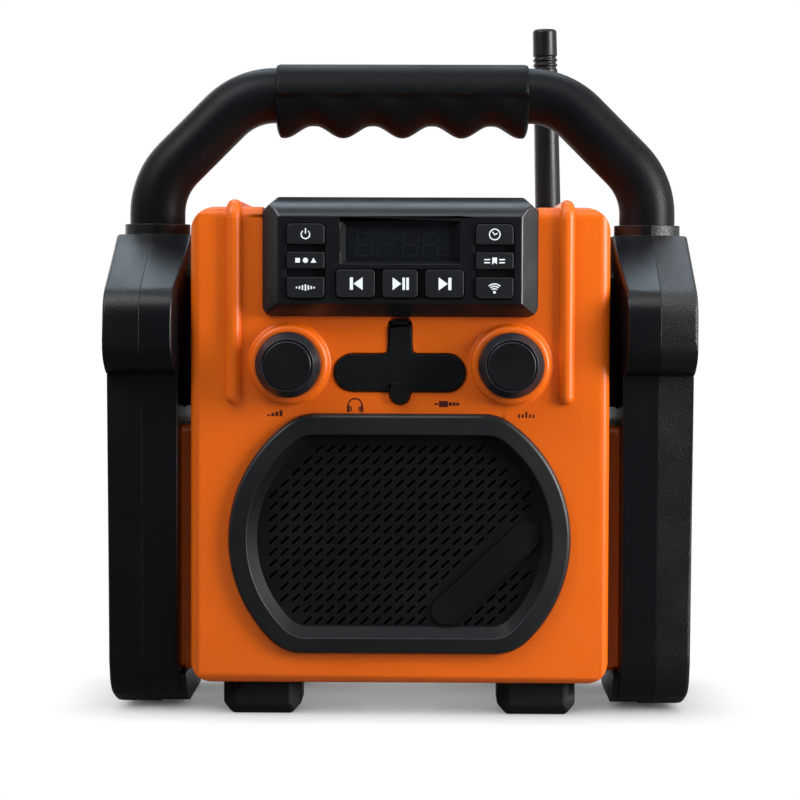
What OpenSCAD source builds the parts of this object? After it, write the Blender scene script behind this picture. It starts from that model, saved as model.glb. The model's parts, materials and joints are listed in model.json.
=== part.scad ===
// Jobsite radio: a moulded box between two side guards that carry a bent tube handle.
// X runs to the right, Y to the back and Z up. The feet stand on Z = 0.

/* [Body] */
// Width of the moulded case
body_w = 180.4; // [172:0.2:200]
// Height of the moulded case
body_h = 205.4; // [203:0.2:225]
// Depth of the moulded case
body_d = 118; // [114:1:140]
// Height of the feet, which is the case's clearance from the ground
foot_h = 14.4; // [11:0.2:20]
// Corner radius at the top of the case, seen from the front
top_r = 11; // [8:0.5:14]
// Corner radius at the bottom of the case, seen from the front
bottom_r = 10; // [7:0.5:12]
// Radius of the soft edges round the front and the back
edge_r = 5; // [3.5:0.5:6]
// Wall thickness of the case
wall = 2.6; // [2.2:0.1:3]
// Width of the two roll-over ribs
rib_w = 6.6; // [5:0.2:8]

/* [Side guards] */
// Depth of a guard's shoulder, from front to back
guard_d = 136; // [132:1:160]
// Width of a guard
guard_w = 30.2; // [29:0.2:34]
// Gap between the case and a guard's shoulder
guard_gap = 6.6; // [6:0.2:9]
// Height of a guard's flat top over the ground
guard_top = 208.6; // [204:0.2:214]

/* [Handle] */
// Outer diameter of the handle tube
tube_d = 24.8; // [23:0.2:25.4]
// Height of the tube's centre line over the ground
handle_z = 271.4; // [268:0.2:290]
// Length of the rubber grip
grip_len = 113; // [100:1:120]
// Radius of the tube's bends, at its centre line
bend_r = 32; // [28:1:34]

/* [Display] */
// Width of the display housing
bezel_w = 118; // [114:1:122]
// Width of the display window at the housing's face
window_w = 51.2; // [48:0.2:53]

/* [Controls] */
// Diameter of the knobs
knob_d = 28.4; // [26:0.2:29]
// Distance of a knob's axis from the middle
knob_x = 47.5; // [46:0.5:50]
// Height that a knob stands out of the case
knob_len = 19; // [16:0.5:19]
// Width of the rubber jack cover
cover_w = 56.2; // [52:0.2:58]

/* [Speaker] */
// Width of the speaker frame
frame_w = 147.4; // [142:0.2:150]
// Spacing of the slots in the grille, both ways
slot_pitch = 4.95; // [4.75:0.05:6]
// Length of a grille slot
slot_len = 5; // [3.6:0.1:5.2]
// Width of a grille slot
slot_w = 1.4; // [1:0.1:1.8]

/* [Antenna] */
// Diameter of the antenna at its foot
antenna_d = 12.4; // [10:0.2:12.4]
// Height of the antenna's tip over the ground
antenna_top = 308.4; // [295:0.2:340]

/* [Hidden] */

$fn = 64;

orange = "#e8641b";
black = "#1b1e22";
rubber = "#141618";
steel = "#b9bec4";
board_green = "#1f5a3c";

fit = 0.02;    // a shaft or pin pressed into its own hole
run = 0.05;    // radial clearance of a turning shaft
play = 0.4;    // clearance round a moving piece

// Case
half_w = body_w / 2;
base_z = foot_h;
top_z = base_z + body_h;
face_y = -body_d / 2;
back_y = body_d / 2;
face_wall = 3;
inner_y = face_y + face_wall;
back_inner_y = back_y - wall;
seam_front = 5;
seam_back = 6.5;
rib_x = half_w - 18.8;
rib_rise = 3.2;
rib_foot_z = base_z + 120.8;
case_screws = [
    for (side = [-1, 1]) for (z = [base_z + 12.6, base_z + 116, top_z - 13.8])
        [side * (half_w - 9.2), z]
];
well_r = 4.2;
well_y = 16;
post_r = 4.6;
screw_r = 1.7;

// Side pads and guards
pad_top = base_z + 110.4;
pad_front = face_y + 19;
shoulder_in = half_w + guard_gap;
shoulder_out = shoulder_in + guard_w;
column_in = shoulder_in - 1;
column_out = shoulder_out - 0.9;
guard_x = shoulder_in + 14.4;
guard_y = guard_d / 2;
guard_wall = 3;
guard_bottom = 2;
collar_r = 14.7;
collar_h = 4.8;
pad_out = column_in - 0.1;
bolt_low = base_z + 17;
bolt_mid = pad_top - 14;
bolt_top = guard_top - 37;
bolt_y = 36;
bolt_r = 2;
bolt_head_x = shoulder_out - 9;
pad_low = base_z + 3;
nose_r = 15;
nose_z = guard_top - 36.6;
chin_r = 14;
chin_z = nose_z - 11;
cheek = 3.8;                 // the shoulder's inner side bows out by this towards the case
cheek_r = 540;
chin_low = chin_z - chin_r + 0.6;   // below this the guard is a plain column
chin_in = 0.3;                      // the chin's foot is this much narrower than the column
toe_in = column_in - 2.8;
toe_out = guard_x - 5.6;
toe_step = 3;                // the toe stands back from the guard's front by this

// Handle
tube_r = tube_d / 2;
tube_bore = tube_r - 2.2;
leg_foot = guard_top - 42;
corner = 39.8;               // the 45 degree corner is cut off this far both ways
tangent = bend_r * tan(22.5);
diagonal = corner * sqrt(2) - 2 * tangent;
grip_finger = grip_len / 4.25;
hair = 0.015;                // step in radius between the tube's stretches
lap = 0.15;                  // length by which they lap

// Display housing
bezel_half = bezel_w / 2;
bezel_face = face_y - 10;
bezel_rim = face_y - 2.5;
bezel_back = face_y + 20;
bezel_low = top_z - 47;
bezel_soft = 5;
bezel_top = top_z + 4.1;
window_low = top_z - 24.6;
window_high = top_z - 4.7;
plate_y = bezel_face + 3;
glass_half = window_w / 2 - 2.5;
glass_low = window_low + 1.4;
glass_high = window_high - 3.7;
glass_y = bezel_face + 2;
lens_back = bezel_face + 3.2;
well_floor = bezel_face + 2;
board_y = face_y + 1.4;
key_face = bezel_face - 1.2;
key_flange = bezel_face + 3.3;
key_travel = 0.8;
key_posts = [for (s = [-1, 1]) for (z = [bezel_low + 9, top_z - 9]) [s * (bezel_half - 7), z]];

// Keys: centre X, lower Z, upper Z, width, and the radii of the lower and the upper corners
side_key = 40.1;
side_key_w = 16;
rows = [top_z - 16.3, top_z - 7.5, top_z - 26.7, top_z - 19.5, top_z - 39.2, top_z - 30.1];
low_row = [top_z - 38.9, top_z - 26.9];
low_key = 18.9;
low_key_w = 16.4;
KEYS = [
    [-side_key, rows[0], rows[1], side_key_w, 0.7, 2],
    [-side_key, rows[2], rows[3], side_key_w, 0.7, 0.7],
    [-side_key, rows[4], rows[5], side_key_w, 2, 0.7],
    [side_key, rows[0], rows[1], side_key_w, 0.7, 2],
    [side_key, rows[2], rows[3], side_key_w, 0.7, 0.7],
    [side_key, rows[4], rows[5], side_key_w, 2, 0.7],
    [-low_key, low_row[0], low_row[1], low_key_w, 1.8, 1.8],
    [0, low_row[0], low_row[1], 15, 1.8, 1.8],
    [low_key, low_row[0], low_row[1], low_key_w, 1.8, 1.8]
];

// Knobs and jacks
knob_r = knob_d / 2;
knob_z = top_z - 67.5;
boss_r = knob_r + 2.9;
boss_h = 4.2;
boss_well = 8.5;
shaft_r = 3;
bushing_r = 3.5;
cover_z = top_z - 71;
cover_r = 7.85;
cover_front = face_y - 0.8;
cover_back = face_y + 1.6;
recess_y = face_y + 1.9;
recess_gap = 0.45;
tongue_r = 4.95;
tongue_z = cover_z + 17.6;
swing_room = 2;              // the recess rises this far over the tongue
hinge_z = cover_z + 21.35;
hinge_y = face_y + 1.1;
tab_r = 4.05;
tab_z = cover_z - 9.4;
tab_lip = 5.1;
jack_x = 18;
jack_r = 4.3;

// Speaker
arc_x = 11.9;
frame_r = frame_w / 2 - arc_x;
frame_low = base_z + 13.2;
frame_high = cover_z - 17.5;
frame_h = frame_high - frame_low;
arc_z = frame_low + frame_h / 2 - 2.3;
frame_round = 20;
mouth_round = 13;
frame_front = face_y - 4;
grille_y = face_y + 1.5;
mouth_r = frame_r - 12.3;
mouth_low = frame_low + 11.6;
mouth_high = frame_high - 9.6;
grille_r = mouth_r + 1.6;
grille_low = mouth_low - 1.6;
grille_high = mouth_high + 1.6;
slot_mid = arc_z + 1.6;
slot_rows = floor((mouth_high - mouth_low) / slot_pitch);
slot_turn = 43;
baffle_y = face_y + 5;
driver_z = arc_z + 2.4;
driver_r = frame_h * 0.434;
driver_rim = driver_r + 6;
driver_screw = driver_r + 3.2;
magnet_r = driver_r - 14;
pad_centre = [37.2, arc_z - 14.9];
pad_angle = 43.2;
pad_len = 46.6;
pad_r = 6;

// Battery bay, measured from its own centre
bay_z = base_z + 45.6;
cell_r = 13.1;
cell_len = 50;
bay_half_w = cell_len + 4;
cell_row = cell_r + 0.8;
cell_y = back_y - cell_r - 4.4;
bay_half_h = cell_row + cell_r + 2;
bay_floor = cell_y - cell_r - 3.4;
door_half_w = bay_half_w + 7;
door_half_h = bay_half_h + 3;
door_low = bay_z - door_half_h;
door_y = back_y - 2.4;
door_pin_y = back_y - 1.2;
door_pin_z = door_low + 1.2;
door_screw_z = bay_z + bay_half_h - 3;

// Boards inside
board_low = bay_z + door_half_h + 40.4;
board_half = half_w - 18.2;
board_posts = [for (s = [-1, 1]) for (z = [base_z + 124, top_z - 28]) [s * (board_half - 10), z]];
control_half = half_w - 20.2;
control_post = control_half - 4;

// Sockets and antenna at the back
dc_x = -half_w + 16;
dc_z = bay_z + door_half_h + 14;
dc_pin_y = back_y + 1.8;
dc_pin_z = dc_z + 12;
antenna_r = antenna_d / 2;
antenna_x = half_w - 20.6;
antenna_z = top_z - 28;
antenna_y = -face_y + knob_len - antenna_r;
antenna_lean = -1.4;
antenna_foot = antenna_y - antenna_r;

// ---------------------------------------------------------------- helpers

// A drawing in X and Z, extruded between two depths.
module along_y(y0, y1) {
    translate([0, y1, 0]) rotate([90, 0, 0]) linear_extrude(y1 - y0) children();
}

// A drawing in Y and Z, extruded between two widths.
module along_x(x0, x1) {
    translate([x0, 0, 0]) rotate([90, 0, 90]) linear_extrude(x1 - x0) children();
}

// A drawing in X and Y, extruded between two heights.
module along_z(z0, z1) {
    translate([0, 0, z0]) linear_extrude(z1 - z0) children();
}

module rod_x(y, z, r, x0, x1) {
    translate([x0, y, z]) rotate([0, 90, 0]) cylinder(r = r, h = x1 - x0);
}

module rod_y(x, z, r, y0, y1) {
    translate([x, y1, z]) rotate([90, 0, 0]) cylinder(r = r, h = y1 - y0);
}

module rod_z(x, y, r, z0, z1) {
    translate([x, y, z0]) cylinder(r = r, h = z1 - z0);
}

module box(low, high) {
    translate(low) cube(high - low);
}

// A rectangle with four round corners.
module rounded(x0, x1, z0, z1, r) {
    translate([x0 + r, z0]) square([x1 - x0 - 2 * r, z1 - z0]);
    translate([x0, z0 + r]) square([x1 - x0, z1 - z0 - 2 * r]);
    for (x = [x0 + r, x1 - r]) for (z = [z0 + r, z1 - r])
        translate([x, z]) circle(r);
}

// A rectangle whose lower and upper corners have their own radii.
module rounded_two(x0, x1, z0, z1, low_r, high_r) {
    mid = (z0 + z1) / 2;
    lap = max(low_r, high_r);
    rounded(x0, x1, z0, mid + lap, low_r);
    rounded(x0, x1, mid - lap, z1, high_r);
}

// A solid of revolution about a line along Y that starts at the case's face and points forward.
module turned_forward(x, z, y) {
    translate([x, y, z]) rotate([90, 0, 0]) rotate_extrude() children();
}

module both_sides() {
    children();
    mirror([1, 0, 0]) children();
}

// ---------------------------------------------------------------- case

// Outline of the case from the front, drawn in by an inset.
module case_outline(inset) {
    w = half_w - inset;
    rt = top_r - min(inset, top_r - 3);
    rb = bottom_r - min(inset, bottom_r - 3);
    low = base_z + inset;
    high = top_z - inset;
    translate([-w, low + rb]) square([2 * w, high - low - rt - rb]);
    translate([-w + rt, high - rt]) square([2 * (w - rt), rt]);
    translate([-w + rb, low]) square([2 * (w - rb), rb]);
    for (s = [-1, 1]) {
        translate([s * (w - rt), high - rt]) circle(rt);
        translate([s * (w - rb), low + rb]) circle(rb);
    }
}

// The whole case as one soft-edged block.
module case_block() {
    intersection() {
        along_y(face_y, back_y) case_outline(0);
        along_x(-half_w, half_w) rounded(face_y, back_y, base_z, top_z, edge_r);
        along_z(base_z, top_z) rounded(-half_w, half_w, face_y, back_y, edge_r);
    }
}

// A rib of round section, sunk half into the case, that rises up the front, rolls over the top
// and comes down the back. Its stretches lap, and differ by a hair in radius.
module roll_rib(x) {
    r = rib_w / 2;
    out = rib_rise - r;
    foot = rib_foot_z + r;
    rise = top_z - edge_r - foot;
    for (s = [-1, 1]) {
        translate([x, s * (back_y + out), foot]) rotate_extrude() intersection() {
            union() {
                circle(r);
                square([r, rise + lap]);
            }
            translate([0, -r]) square([r, r + rise + lap]);
        }
        translate([x, s * (back_y - edge_r), top_z - edge_r]) rotate([90, 0, s * 90])
            rotate_extrude(angle = 90) translate([edge_r + out, 0]) circle(r - hair);
    }
    rod_y(x, top_z + out, r, face_y + edge_r - lap, back_y - edge_r + lap);
}

module roll_ribs() {
    for (s = [-1, 1]) roll_rib(s * rib_x);
}

// Pads on the case's sides, which the guards are bolted against.
module side_pads() {
    both_sides() along_x(half_w - 1, pad_out)
        rounded(pad_front, -pad_front, pad_low, pad_top, 4);
}

module case_body() {
    case_block();
    roll_ribs();
    side_pads();
}

module between(y0, y1) {
    box([-200, y0, 0], [200, y1, 400]);
}

// Cut-out round the display housing, in the case's front and top.
module bezel_notch() {
    along_y(face_y - 10, bezel_back) bezel_outline(bezel_soft - 0.15, top_z + 10);
}

// The housing's outline from the front, with round lower corners and plain upper ones.
module bezel_outline(r, high) {
    translate([-bezel_half, bezel_low + r]) square([bezel_w, high - bezel_low - r]);
    translate([-bezel_half + r, bezel_low]) square([bezel_w - 2 * r, r + 1]);
    for (s = [-1, 1]) translate([s * (bezel_half - r), bezel_low + r]) circle(r);
}

// Outline of the speaker frame: two arcs between a flat top and a flat bottom.
module speaker_outline(r, low, high) {
    intersection() {
        union() {
            for (s = [-1, 1]) translate([s * arc_x, arc_z]) circle(r);
            translate([-arc_x, arc_z - r]) square([2 * arc_x, 2 * r]);
        }
        translate([-arc_x - r - 1, low]) square([2 * (arc_x + r + 1), high - low]);
    }
}

// What comes off the corners of that outline, so that a small arc leads from each flat to the big arc.
module corner_cuts(r, low, high, soft) {
    steps = 8;
    over = 0.3;
    for (end = [[high, 1], [low, -1]]) {
        edge = abs(end[0] - arc_z);
        x = arc_x + sqrt(pow(r - soft, 2) - pow(edge - soft, 2));
        lean = asin((edge - soft) / (r - soft));
        arc = [for (i = [0:steps]) let (a = 90 - (90 - lean) * i / steps)
            [x + soft * cos(a), edge - soft + soft * sin(a)]];
        first = arc[0] + over * (arc[0] - arc[1]);
        last = arc[steps] + over * (arc[steps] - arc[steps - 1]);
        outline = concat(
            [[x, edge + 3], first], [for (i = [1:steps - 1]) arc[i]],
            [last, [arc_x + (r + 5) * cos(lean), (r + 5) * sin(lean)],
             [arc_x + (r + 5) * cos(lean) + 4, edge + 3]]);
        for (s = [-1, 1]) polygon([for (p = outline) [s * p[0], arc_z + end[1] * p[1]]]);
    }
}

// The same outline as a block with sloping sides, from its front size to its back size.
module speaker_taper(y0, y1, r0, r1, low0, low1, high0, high1) {
    intersection() {
        union() {
            for (s = [-1, 1]) translate([s * arc_x, y1, arc_z]) rotate([90, 0, 0])
                cylinder(r1 = r1, r2 = r0, h = y1 - y0);
            along_x(-arc_x, arc_x)
                polygon([[y0, arc_z - r0], [y1, arc_z - r1], [y1, arc_z + r1], [y0, arc_z + r0]]);
        }
        along_x(-arc_x - r0 - r1, arc_x + r0 + r1)
            polygon([[y0, low0], [y1, low1], [y1, high1], [y0, high0]]);
    }
}

// Soft inner corners, left and right of the middle, above (up = 1) or below (up = -1) a straight edge.
module inner_corners(x, z, f, up) {
    arc = [for (a = [270:-15:180]) [x + f + f * cos(a), f + f * sin(a)]];
    points = concat([[x - 0.5, f], [x - 0.5, -0.5], [x + f, -0.5]], arc);
    for (s = [-1, 1]) polygon([for (p = points) [s * p[0], z + up * p[1]]]);
}

// Outline of the jack cover, or of its recess with a gap all round.
module cover_outline(gap) {
    inner_corners(tongue_r + gap, cover_z + cover_r + gap, 2.2 - gap, 1);
    inner_corners(tab_r + gap, cover_z - cover_r - gap, 1.6 - gap, -1);
    rounded(-cover_w / 2 - gap, cover_w / 2 + gap, cover_z - cover_r - gap, cover_z + cover_r + gap,
            cover_r + gap - 0.01);
    translate([-tongue_r - gap, cover_z]) square([2 * (tongue_r + gap), tongue_z - cover_z]);
    translate([0, tongue_z]) circle(tongue_r + gap);
    translate([-tab_r - gap, tab_z]) square([2 * (tab_r + gap), cover_z - tab_z]);
    translate([0, tab_z]) circle(tab_r + gap);
}

module front_bosses() {
    for (p = case_screws) rod_y(p[0], p[1], post_r, inner_y - 0.5, seam_front);
    for (s = [-1, 1]) {
        rod_y(s * knob_x, knob_z, 8, inner_y - 0.5, inner_y + 1);
        rod_y(s * control_post, knob_z - 8, 3.2, inner_y - 0.5, face_y + 11);
    }
    // backing behind the jack recess
    along_y(inner_y - 0.5, face_y + 5) rounded(-32, 32, cover_z - 12.5, bezel_low + 1, 3);
    // cup that holds the speaker frame, with the baffle as its floor
    along_y(inner_y - 0.5, baffle_y + 2.5) speaker_outline(frame_r - 2, frame_low + 2, frame_high - 2);
}

// A raised boss behind each knob with a soft rim, hollow round the control's nut.
module knob_bosses() {
    rim = 2.4;
    for (s = [-1, 1]) turned_forward(s * knob_x, knob_z, face_y) {
        translate([boss_well, -1]) square([boss_r - boss_well, 1 + boss_h - rim]);
        translate([boss_well, -1]) square([boss_r - rim - boss_well, 1 + boss_h]);
        translate([boss_r - rim, boss_h - rim]) circle(rim);
        polygon([[boss_r - 1, -1], [boss_r + 1.4, -1], [boss_r + 1.4, 0], [boss_r + 0.4, 0.4],
                 [boss_r, 1.4], [boss_r - 1, 1.4]]);
    }
}

module guard_bolt_holes(r) {
    both_sides() for (y = [-bolt_y, bolt_y]) for (z = [bolt_low, bolt_mid])
        rod_x(y, z, r, half_w - 8, shoulder_out + 1);
}

module driver_screws(r, y0, y1) {
    for (a = [45:90:315]) rod_y(driver_screw * cos(a), driver_z + driver_screw * sin(a), r, y0, y1);
}

module front_shell() {
    color(orange) difference() {
        union() {
            difference() {
                intersection() {
                    case_body();
                    between(face_y - 20, seam_front);
                }
                along_y(inner_y, seam_front + 1) case_outline(wall);
            }
            front_bosses();
            knob_bosses();
        }
        bezel_notch();
        along_y(face_y - 1, baffle_y)
            speaker_outline(frame_r - 4.2, frame_low + 4.2, frame_high - 4.2);
        rod_y(0, driver_z, driver_r, face_y, face_y + 20);
        driver_screws(screw_r, baffle_y - 0.5, face_y + 20);
        // recess of the jack cover, open up to the display housing
        along_y(face_y - 1, recess_y) cover_outline(recess_gap);
        along_y(face_y - 1, recess_y) {
            translate([0, tongue_z + swing_room]) circle(tongue_r + recess_gap);
            translate([-tongue_r - recess_gap, tongue_z])
                square([2 * (tongue_r + recess_gap), swing_room]);
        }
        box([-3.8, face_y - 1, hinge_z - 2.2], [3.8, hinge_y + 2, bezel_low + 1]);
        rod_x(hinge_y, hinge_z, 0.6 + fit, -6.8, 6.8);
        for (s = [-1, 1]) {
            rod_y(s * jack_x, cover_z, jack_r + 0.1, face_y, face_y + 8);
            rod_y(s * knob_x, knob_z, bushing_r + 0.1, face_y - 1, face_y + 8);
        }
        for (p = case_screws) rod_y(p[0], p[1], screw_r, seam_front - 22, seam_front + 1);
        guard_bolt_holes(bolt_r + fit);
        for (x = [-59.5, 59.5]) rod_z(x, -37, screw_r, base_z - 1, base_z + 9);
    }
}

module rear_shell() {
    color(orange) difference() {
        union() {
            difference() {
                intersection() {
                    case_body();
                    between(seam_back, back_y + 20);
                }
                along_y(seam_back - 1, back_inner_y) case_outline(wall);
            }
            for (p = case_screws) rod_y(p[0], p[1], post_r + 1, seam_back, back_inner_y + 0.5);
            // posts of the main board
            for (p = board_posts) rod_y(p[0], p[1], 3.4, 11.6, back_inner_y + 0.5);
            // shallow frame round the battery door
            along_y(back_y - 1, back_y + 1.2) difference() {
                rounded(-door_half_w - 4, door_half_w + 4, door_low - 4.4, bay_z + door_half_h + 4, 5);
                rounded(-door_half_w - play, door_half_w + play, door_low - 1.2,
                        bay_z + door_half_h + play, 2);
            }
            // lugs of the socket cover's hinge
            for (s = [-1, 1]) along_x(dc_x + s * 5 - 1.2, dc_x + s * 5 + 1.2)
                rounded(back_y - 1, dc_pin_y + 1.8, dc_pin_z - 1.8, dc_pin_z + 1.8, 1.2);
        }
        along_y(back_y - 5, back_y + 5) rounded(-door_half_w - play, door_half_w + play,
            door_low - 1.2, bay_z + door_half_h + play, 2);
        for (p = case_screws) {
            rod_y(p[0], p[1], well_r, well_y, back_y + 1);
            rod_y(p[0], p[1], screw_r + 0.3, seam_back - 1, well_y + 1);
        }
        for (p = board_posts) rod_y(p[0], p[1], 1.2, 10, 20);
        rod_x(door_pin_y, door_pin_z, 0.7 + fit, -door_half_w - 3, door_half_w + 3);
        rod_y(dc_x, dc_z, 5.6, back_y - 5, back_y + 1);
        rod_x(dc_pin_y, dc_pin_z, 0.6 + fit, dc_x - 7, dc_x + 7);
        rod_y(antenna_x, antenna_z, 3 + fit, back_y - 5, back_y + 1);
        // seat of the antenna's bracket, cut into the rib
        along_y(back_y, back_y + rib_rise + 1) bracket_outline(0.3);
        guard_bolt_holes(bolt_r + fit);
        for (x = [-59.5, 59.5]) rod_z(x, 37, screw_r, base_z - 1, base_z + 9);
        // sound and cooling louvres above the battery door
        for (i = [-4:4]) along_y(back_y - 5, back_y + 1)
            rounded(-30, 30, bay_z + 58 + i * 4.4, bay_z + 59.8 + i * 4.4, 0.89);
    }
}

module shell_seal() {
    color(rubber) along_y(seam_front, seam_back) difference() {
        case_outline(0.5);
        case_outline(wall - 0.2);
    }
}

module shell_screws() {
    color(steel) for (p = case_screws) difference() {
        union() {
            rod_y(p[0], p[1], screw_r, seam_front - 20, well_y);
            rod_y(p[0], p[1], 3.7, well_y, well_y + 2.6);
        }
        for (a = [0, 90]) translate([p[0], well_y + 2, p[1]]) rotate([0, a, 0])
            cube([4.4, 2, 0.9], center = true);
    }
}

// An eight-sided foot with a chamfered sole.
module foot(x, y) {
    w = 17;
    d = 15;
    cut = 5;
    sole = 4.3;
    translate([x, y, 0]) difference() {
        intersection() {
            along_z(0, base_z) polygon([
                [-w, -d + cut], [-w + cut, -d], [w - cut, -d], [w, -d + cut],
                [w, d - cut], [w - cut, d], [-w + cut, d], [-w, d - cut]]);
            along_y(-d, d) polygon([
                [-w, base_z], [-w, sole], [-w + sole, 0], [w - sole, 0], [w, sole], [w, base_z]]);
            along_x(-w, w) polygon([
                [-d, base_z], [-d, sole], [-d + 3, 0], [d - 3, 0], [d, sole], [d, base_z]]);
        }
        rod_z(0, 0, 4.4, -1, 6);
        rod_z(0, 0, screw_r + 0.2, 5, base_z + 1);
    }
}

module feet() {
    color(rubber) for (x = [-59.5, 59.5]) for (y = [-37, 37]) foot(x, y);
}

module foot_screws() {
    color(steel) for (x = [-59.5, 59.5]) for (y = [-37, 37]) difference() {
        union() {
            rod_z(x, y, screw_r, 4.5, base_z + 8);
            rod_z(x, y, 3.6, 3.4, 6);
        }
        for (a = [0, 90]) translate([x, y, 3.8]) rotate([0, 0, a]) cube([4.4, 0.9, 1.4], center = true);
    }
}

// ---------------------------------------------------------------- display

// The display housing's outer block: wide chamfers round a raised face, cut upper corners.
module bezel_block() {
    cut = 6.2;
    intersection() {
        along_x(-bezel_half, bezel_half) polygon([
            [bezel_back, bezel_low], [bezel_rim, bezel_low], [bezel_face, bezel_low + 5.8],
            [bezel_face, top_z - 4.4], [bezel_face + 2.5, top_z - 0.8], [face_y + 1, bezel_top],
            [bezel_back, bezel_top]]);
        along_z(bezel_low, bezel_top) polygon([
            [-bezel_half, bezel_back], [-bezel_half, bezel_rim], [-bezel_half + 7.3, bezel_face],
            [bezel_half - 7.3, bezel_face], [bezel_half, bezel_rim], [bezel_half, bezel_back]]);
        along_y(bezel_face, bezel_back) intersection() {
            bezel_outline(bezel_soft, bezel_top);
            polygon([
                [-bezel_half, bezel_low], [bezel_half, bezel_low],
                [bezel_half, bezel_top - cut], [bezel_half - cut, bezel_top],
                [-bezel_half + cut, bezel_top], [-bezel_half, bezel_top - cut]]);
        }
    }
}

// The hollow inside the display housing.
module bezel_hollow() {
    skin = 2.4;
    intersection() {
        along_x(-bezel_half + skin, bezel_half - skin) polygon([
            [bezel_back + 1, bezel_low + skin], [bezel_rim + 1.4, bezel_low + skin],
            [plate_y, bezel_low + 6.6], [plate_y, top_z - 5.2], [face_y + 1.6, bezel_top - skin - 0.6],
            [bezel_back + 1, bezel_top - skin - 0.6]]);
        along_z(bezel_low, bezel_top) polygon([
            [-bezel_half + skin, bezel_back + 1], [-bezel_half + skin, bezel_rim + 1.4],
            [-bezel_half + 9, plate_y], [bezel_half - 9, plate_y],
            [bezel_half - skin, bezel_rim + 1.4], [bezel_half - skin, bezel_back + 1]]);
    }
}

module key_outline(k, gap) {
    rounded_two(k[0] - k[3] / 2 - gap, k[0] + k[3] / 2 + gap, k[1] - gap, k[2] + gap,
                k[4] + gap, k[5] + gap);
}

// Sunk wells that the keys of a column or a row share.
module key_wells() {
    rim = 0.5;
    side = side_key_w / 2 + rim;
    low = low_key + low_key_w / 2 + rim;
    along_y(bezel_face - 1, well_floor) {
        for (s = [-1, 1])
            rounded(s * side_key - side, s * side_key + side, rows[4] - rim, rows[1] + rim, 2.4);
        rounded(-low, low, low_row[0] - rim, low_row[1] + rim, 2.2);
    }
}

// The display's opening: sloping sides down to the glass, then a seat for it from behind.
module window_opening() {
    side = window_w / 2;
    lip = glass_y - 0.3;
    intersection() {
        along_x(-side, side) polygon([
            [bezel_face, window_low], [lip, glass_low], [plate_y, glass_low],
            [plate_y, glass_high], [lip, glass_high], [bezel_face, window_high]]);
        along_z(window_low, window_high) polygon([
            [-side, bezel_face], [-glass_half, lip], [-glass_half, plate_y],
            [glass_half, plate_y], [glass_half, lip], [side, bezel_face]]);
    }
    box([-glass_half - 1.6, glass_y, glass_low - 1], [glass_half + 1.6, plate_y + 1, glass_high + 1]);
}

module display_bezel() {
    color(black) difference() {
        union() {
            difference() {
                bezel_block();
                bezel_hollow();
            }
            for (p = key_posts) rod_y(p[0], p[1], 2.4, bezel_face + 3.4, board_y);
        }
        for (k = KEYS) along_y(bezel_face - 1, bezel_face + 4) key_outline(k, 0.3);
        key_wells();
        window_opening();
        for (p = key_posts) rod_y(p[0], p[1], 1, board_y - 5, board_y + 1);
    }
}

module display_lens() {
    color("#20262c") box([-glass_half - 1.5, glass_y, glass_low - 0.9],
                         [glass_half + 1.5, lens_back, glass_high + 0.9]);
}

module lcd_panel() {
    color("#3a4040") union() {
        box([-25.4, lens_back + 0.1, window_low + 0.4], [25.4, bezel_face + 6.1, window_high - 1.2]);
        for (x = [-22, 22]) box([x - 2, bezel_face + 6, window_low + 4], [x + 2, board_y, window_low + 14]);
    }
}

module key_board() {
    color(board_green) difference() {
        along_y(board_y, board_y + 1.6)
            rounded(4 - bezel_half, bezel_half - 4, bezel_low + 4, top_z - 3, 1.5);
        for (p = key_posts) rod_y(p[0], p[1], 1, board_y - 1, board_y + 3);
    }
}

module key_switches() {
    color("#8d9297") for (k = KEYS) {
        z = (k[1] + k[2]) / 2;
        box([k[0] - 3, board_y - 1.9, z - 3], [k[0] + 3, board_y, z + 3]);
        rod_y(k[0], z, 1.6, board_y - 2.2, board_y - 1.8);
    }
}

// One key: a cap through the housing, a flange that keeps it in and a stem to its switch.
module key_cap(i) {
    k = KEYS[i];
    z = (k[1] + k[2]) / 2;
    color(rubber) {
        along_y(key_face, key_flange + 0.5) key_outline(k, 0);
        along_y(key_flange, key_flange + 1.2) key_outline(k, 1);
        rod_y(k[0], z, 1.5, key_flange + 1, board_y - 2.5 - key_travel);
    }
}

// ---------------------------------------------------------------- controls

// A knob: a skirt, a bevelled shoulder and a flat front disc, hollow round its hub.
module knob(x) {
    bevel = knob_r * 0.765;
    skirt = boss_h + play;
    color(rubber) difference() {
        turned_forward(x, knob_z, face_y) polygon([
            [0, 3.2], [6, 3.2], [6, 8.5], [knob_r - 1.8, 8.5], [knob_r - 1.8, skirt],
            [knob_r - 0.4, skirt], [knob_r, skirt + 0.6], [knob_r, 8], [knob_r - 0.4, knob_len - 4.6],
            [knob_r - 1.1, knob_len - 3.4], [bevel + 0.3, knob_len - 0.3], [bevel - 0.1, knob_len - 0.3],
            [bevel - 0.3, knob_len - 0.8], [bevel - 0.6, knob_len - 0.8], [bevel - 0.8, knob_len],
            [0, knob_len]]);
        rod_y(x, knob_z, shaft_r + fit, face_y - 14, face_y);
    }
}

module control_shaft(x) {
    color(steel) difference() {
        rod_y(x, knob_z, shaft_r, face_y - 13.8, face_y + 7);
        rod_y(x, knob_z, 4, face_y - 15, face_y - 14.2);
    }
}

// The body of a rotary control with its threaded bushing.
module control_body(x, tall) {
    color(steel) difference() {
        union() {
            rod_y(x, knob_z, bushing_r, face_y - 2.8, face_y + 4.1);
            along_y(face_y + 4, face_y + tall) rounded(x - 8, x + 8, knob_z - 8, knob_z + 8, 1.5);
        }
        rod_y(x, knob_z, shaft_r + run, face_y - 3, face_y + 7.2);
    }
}

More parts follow.
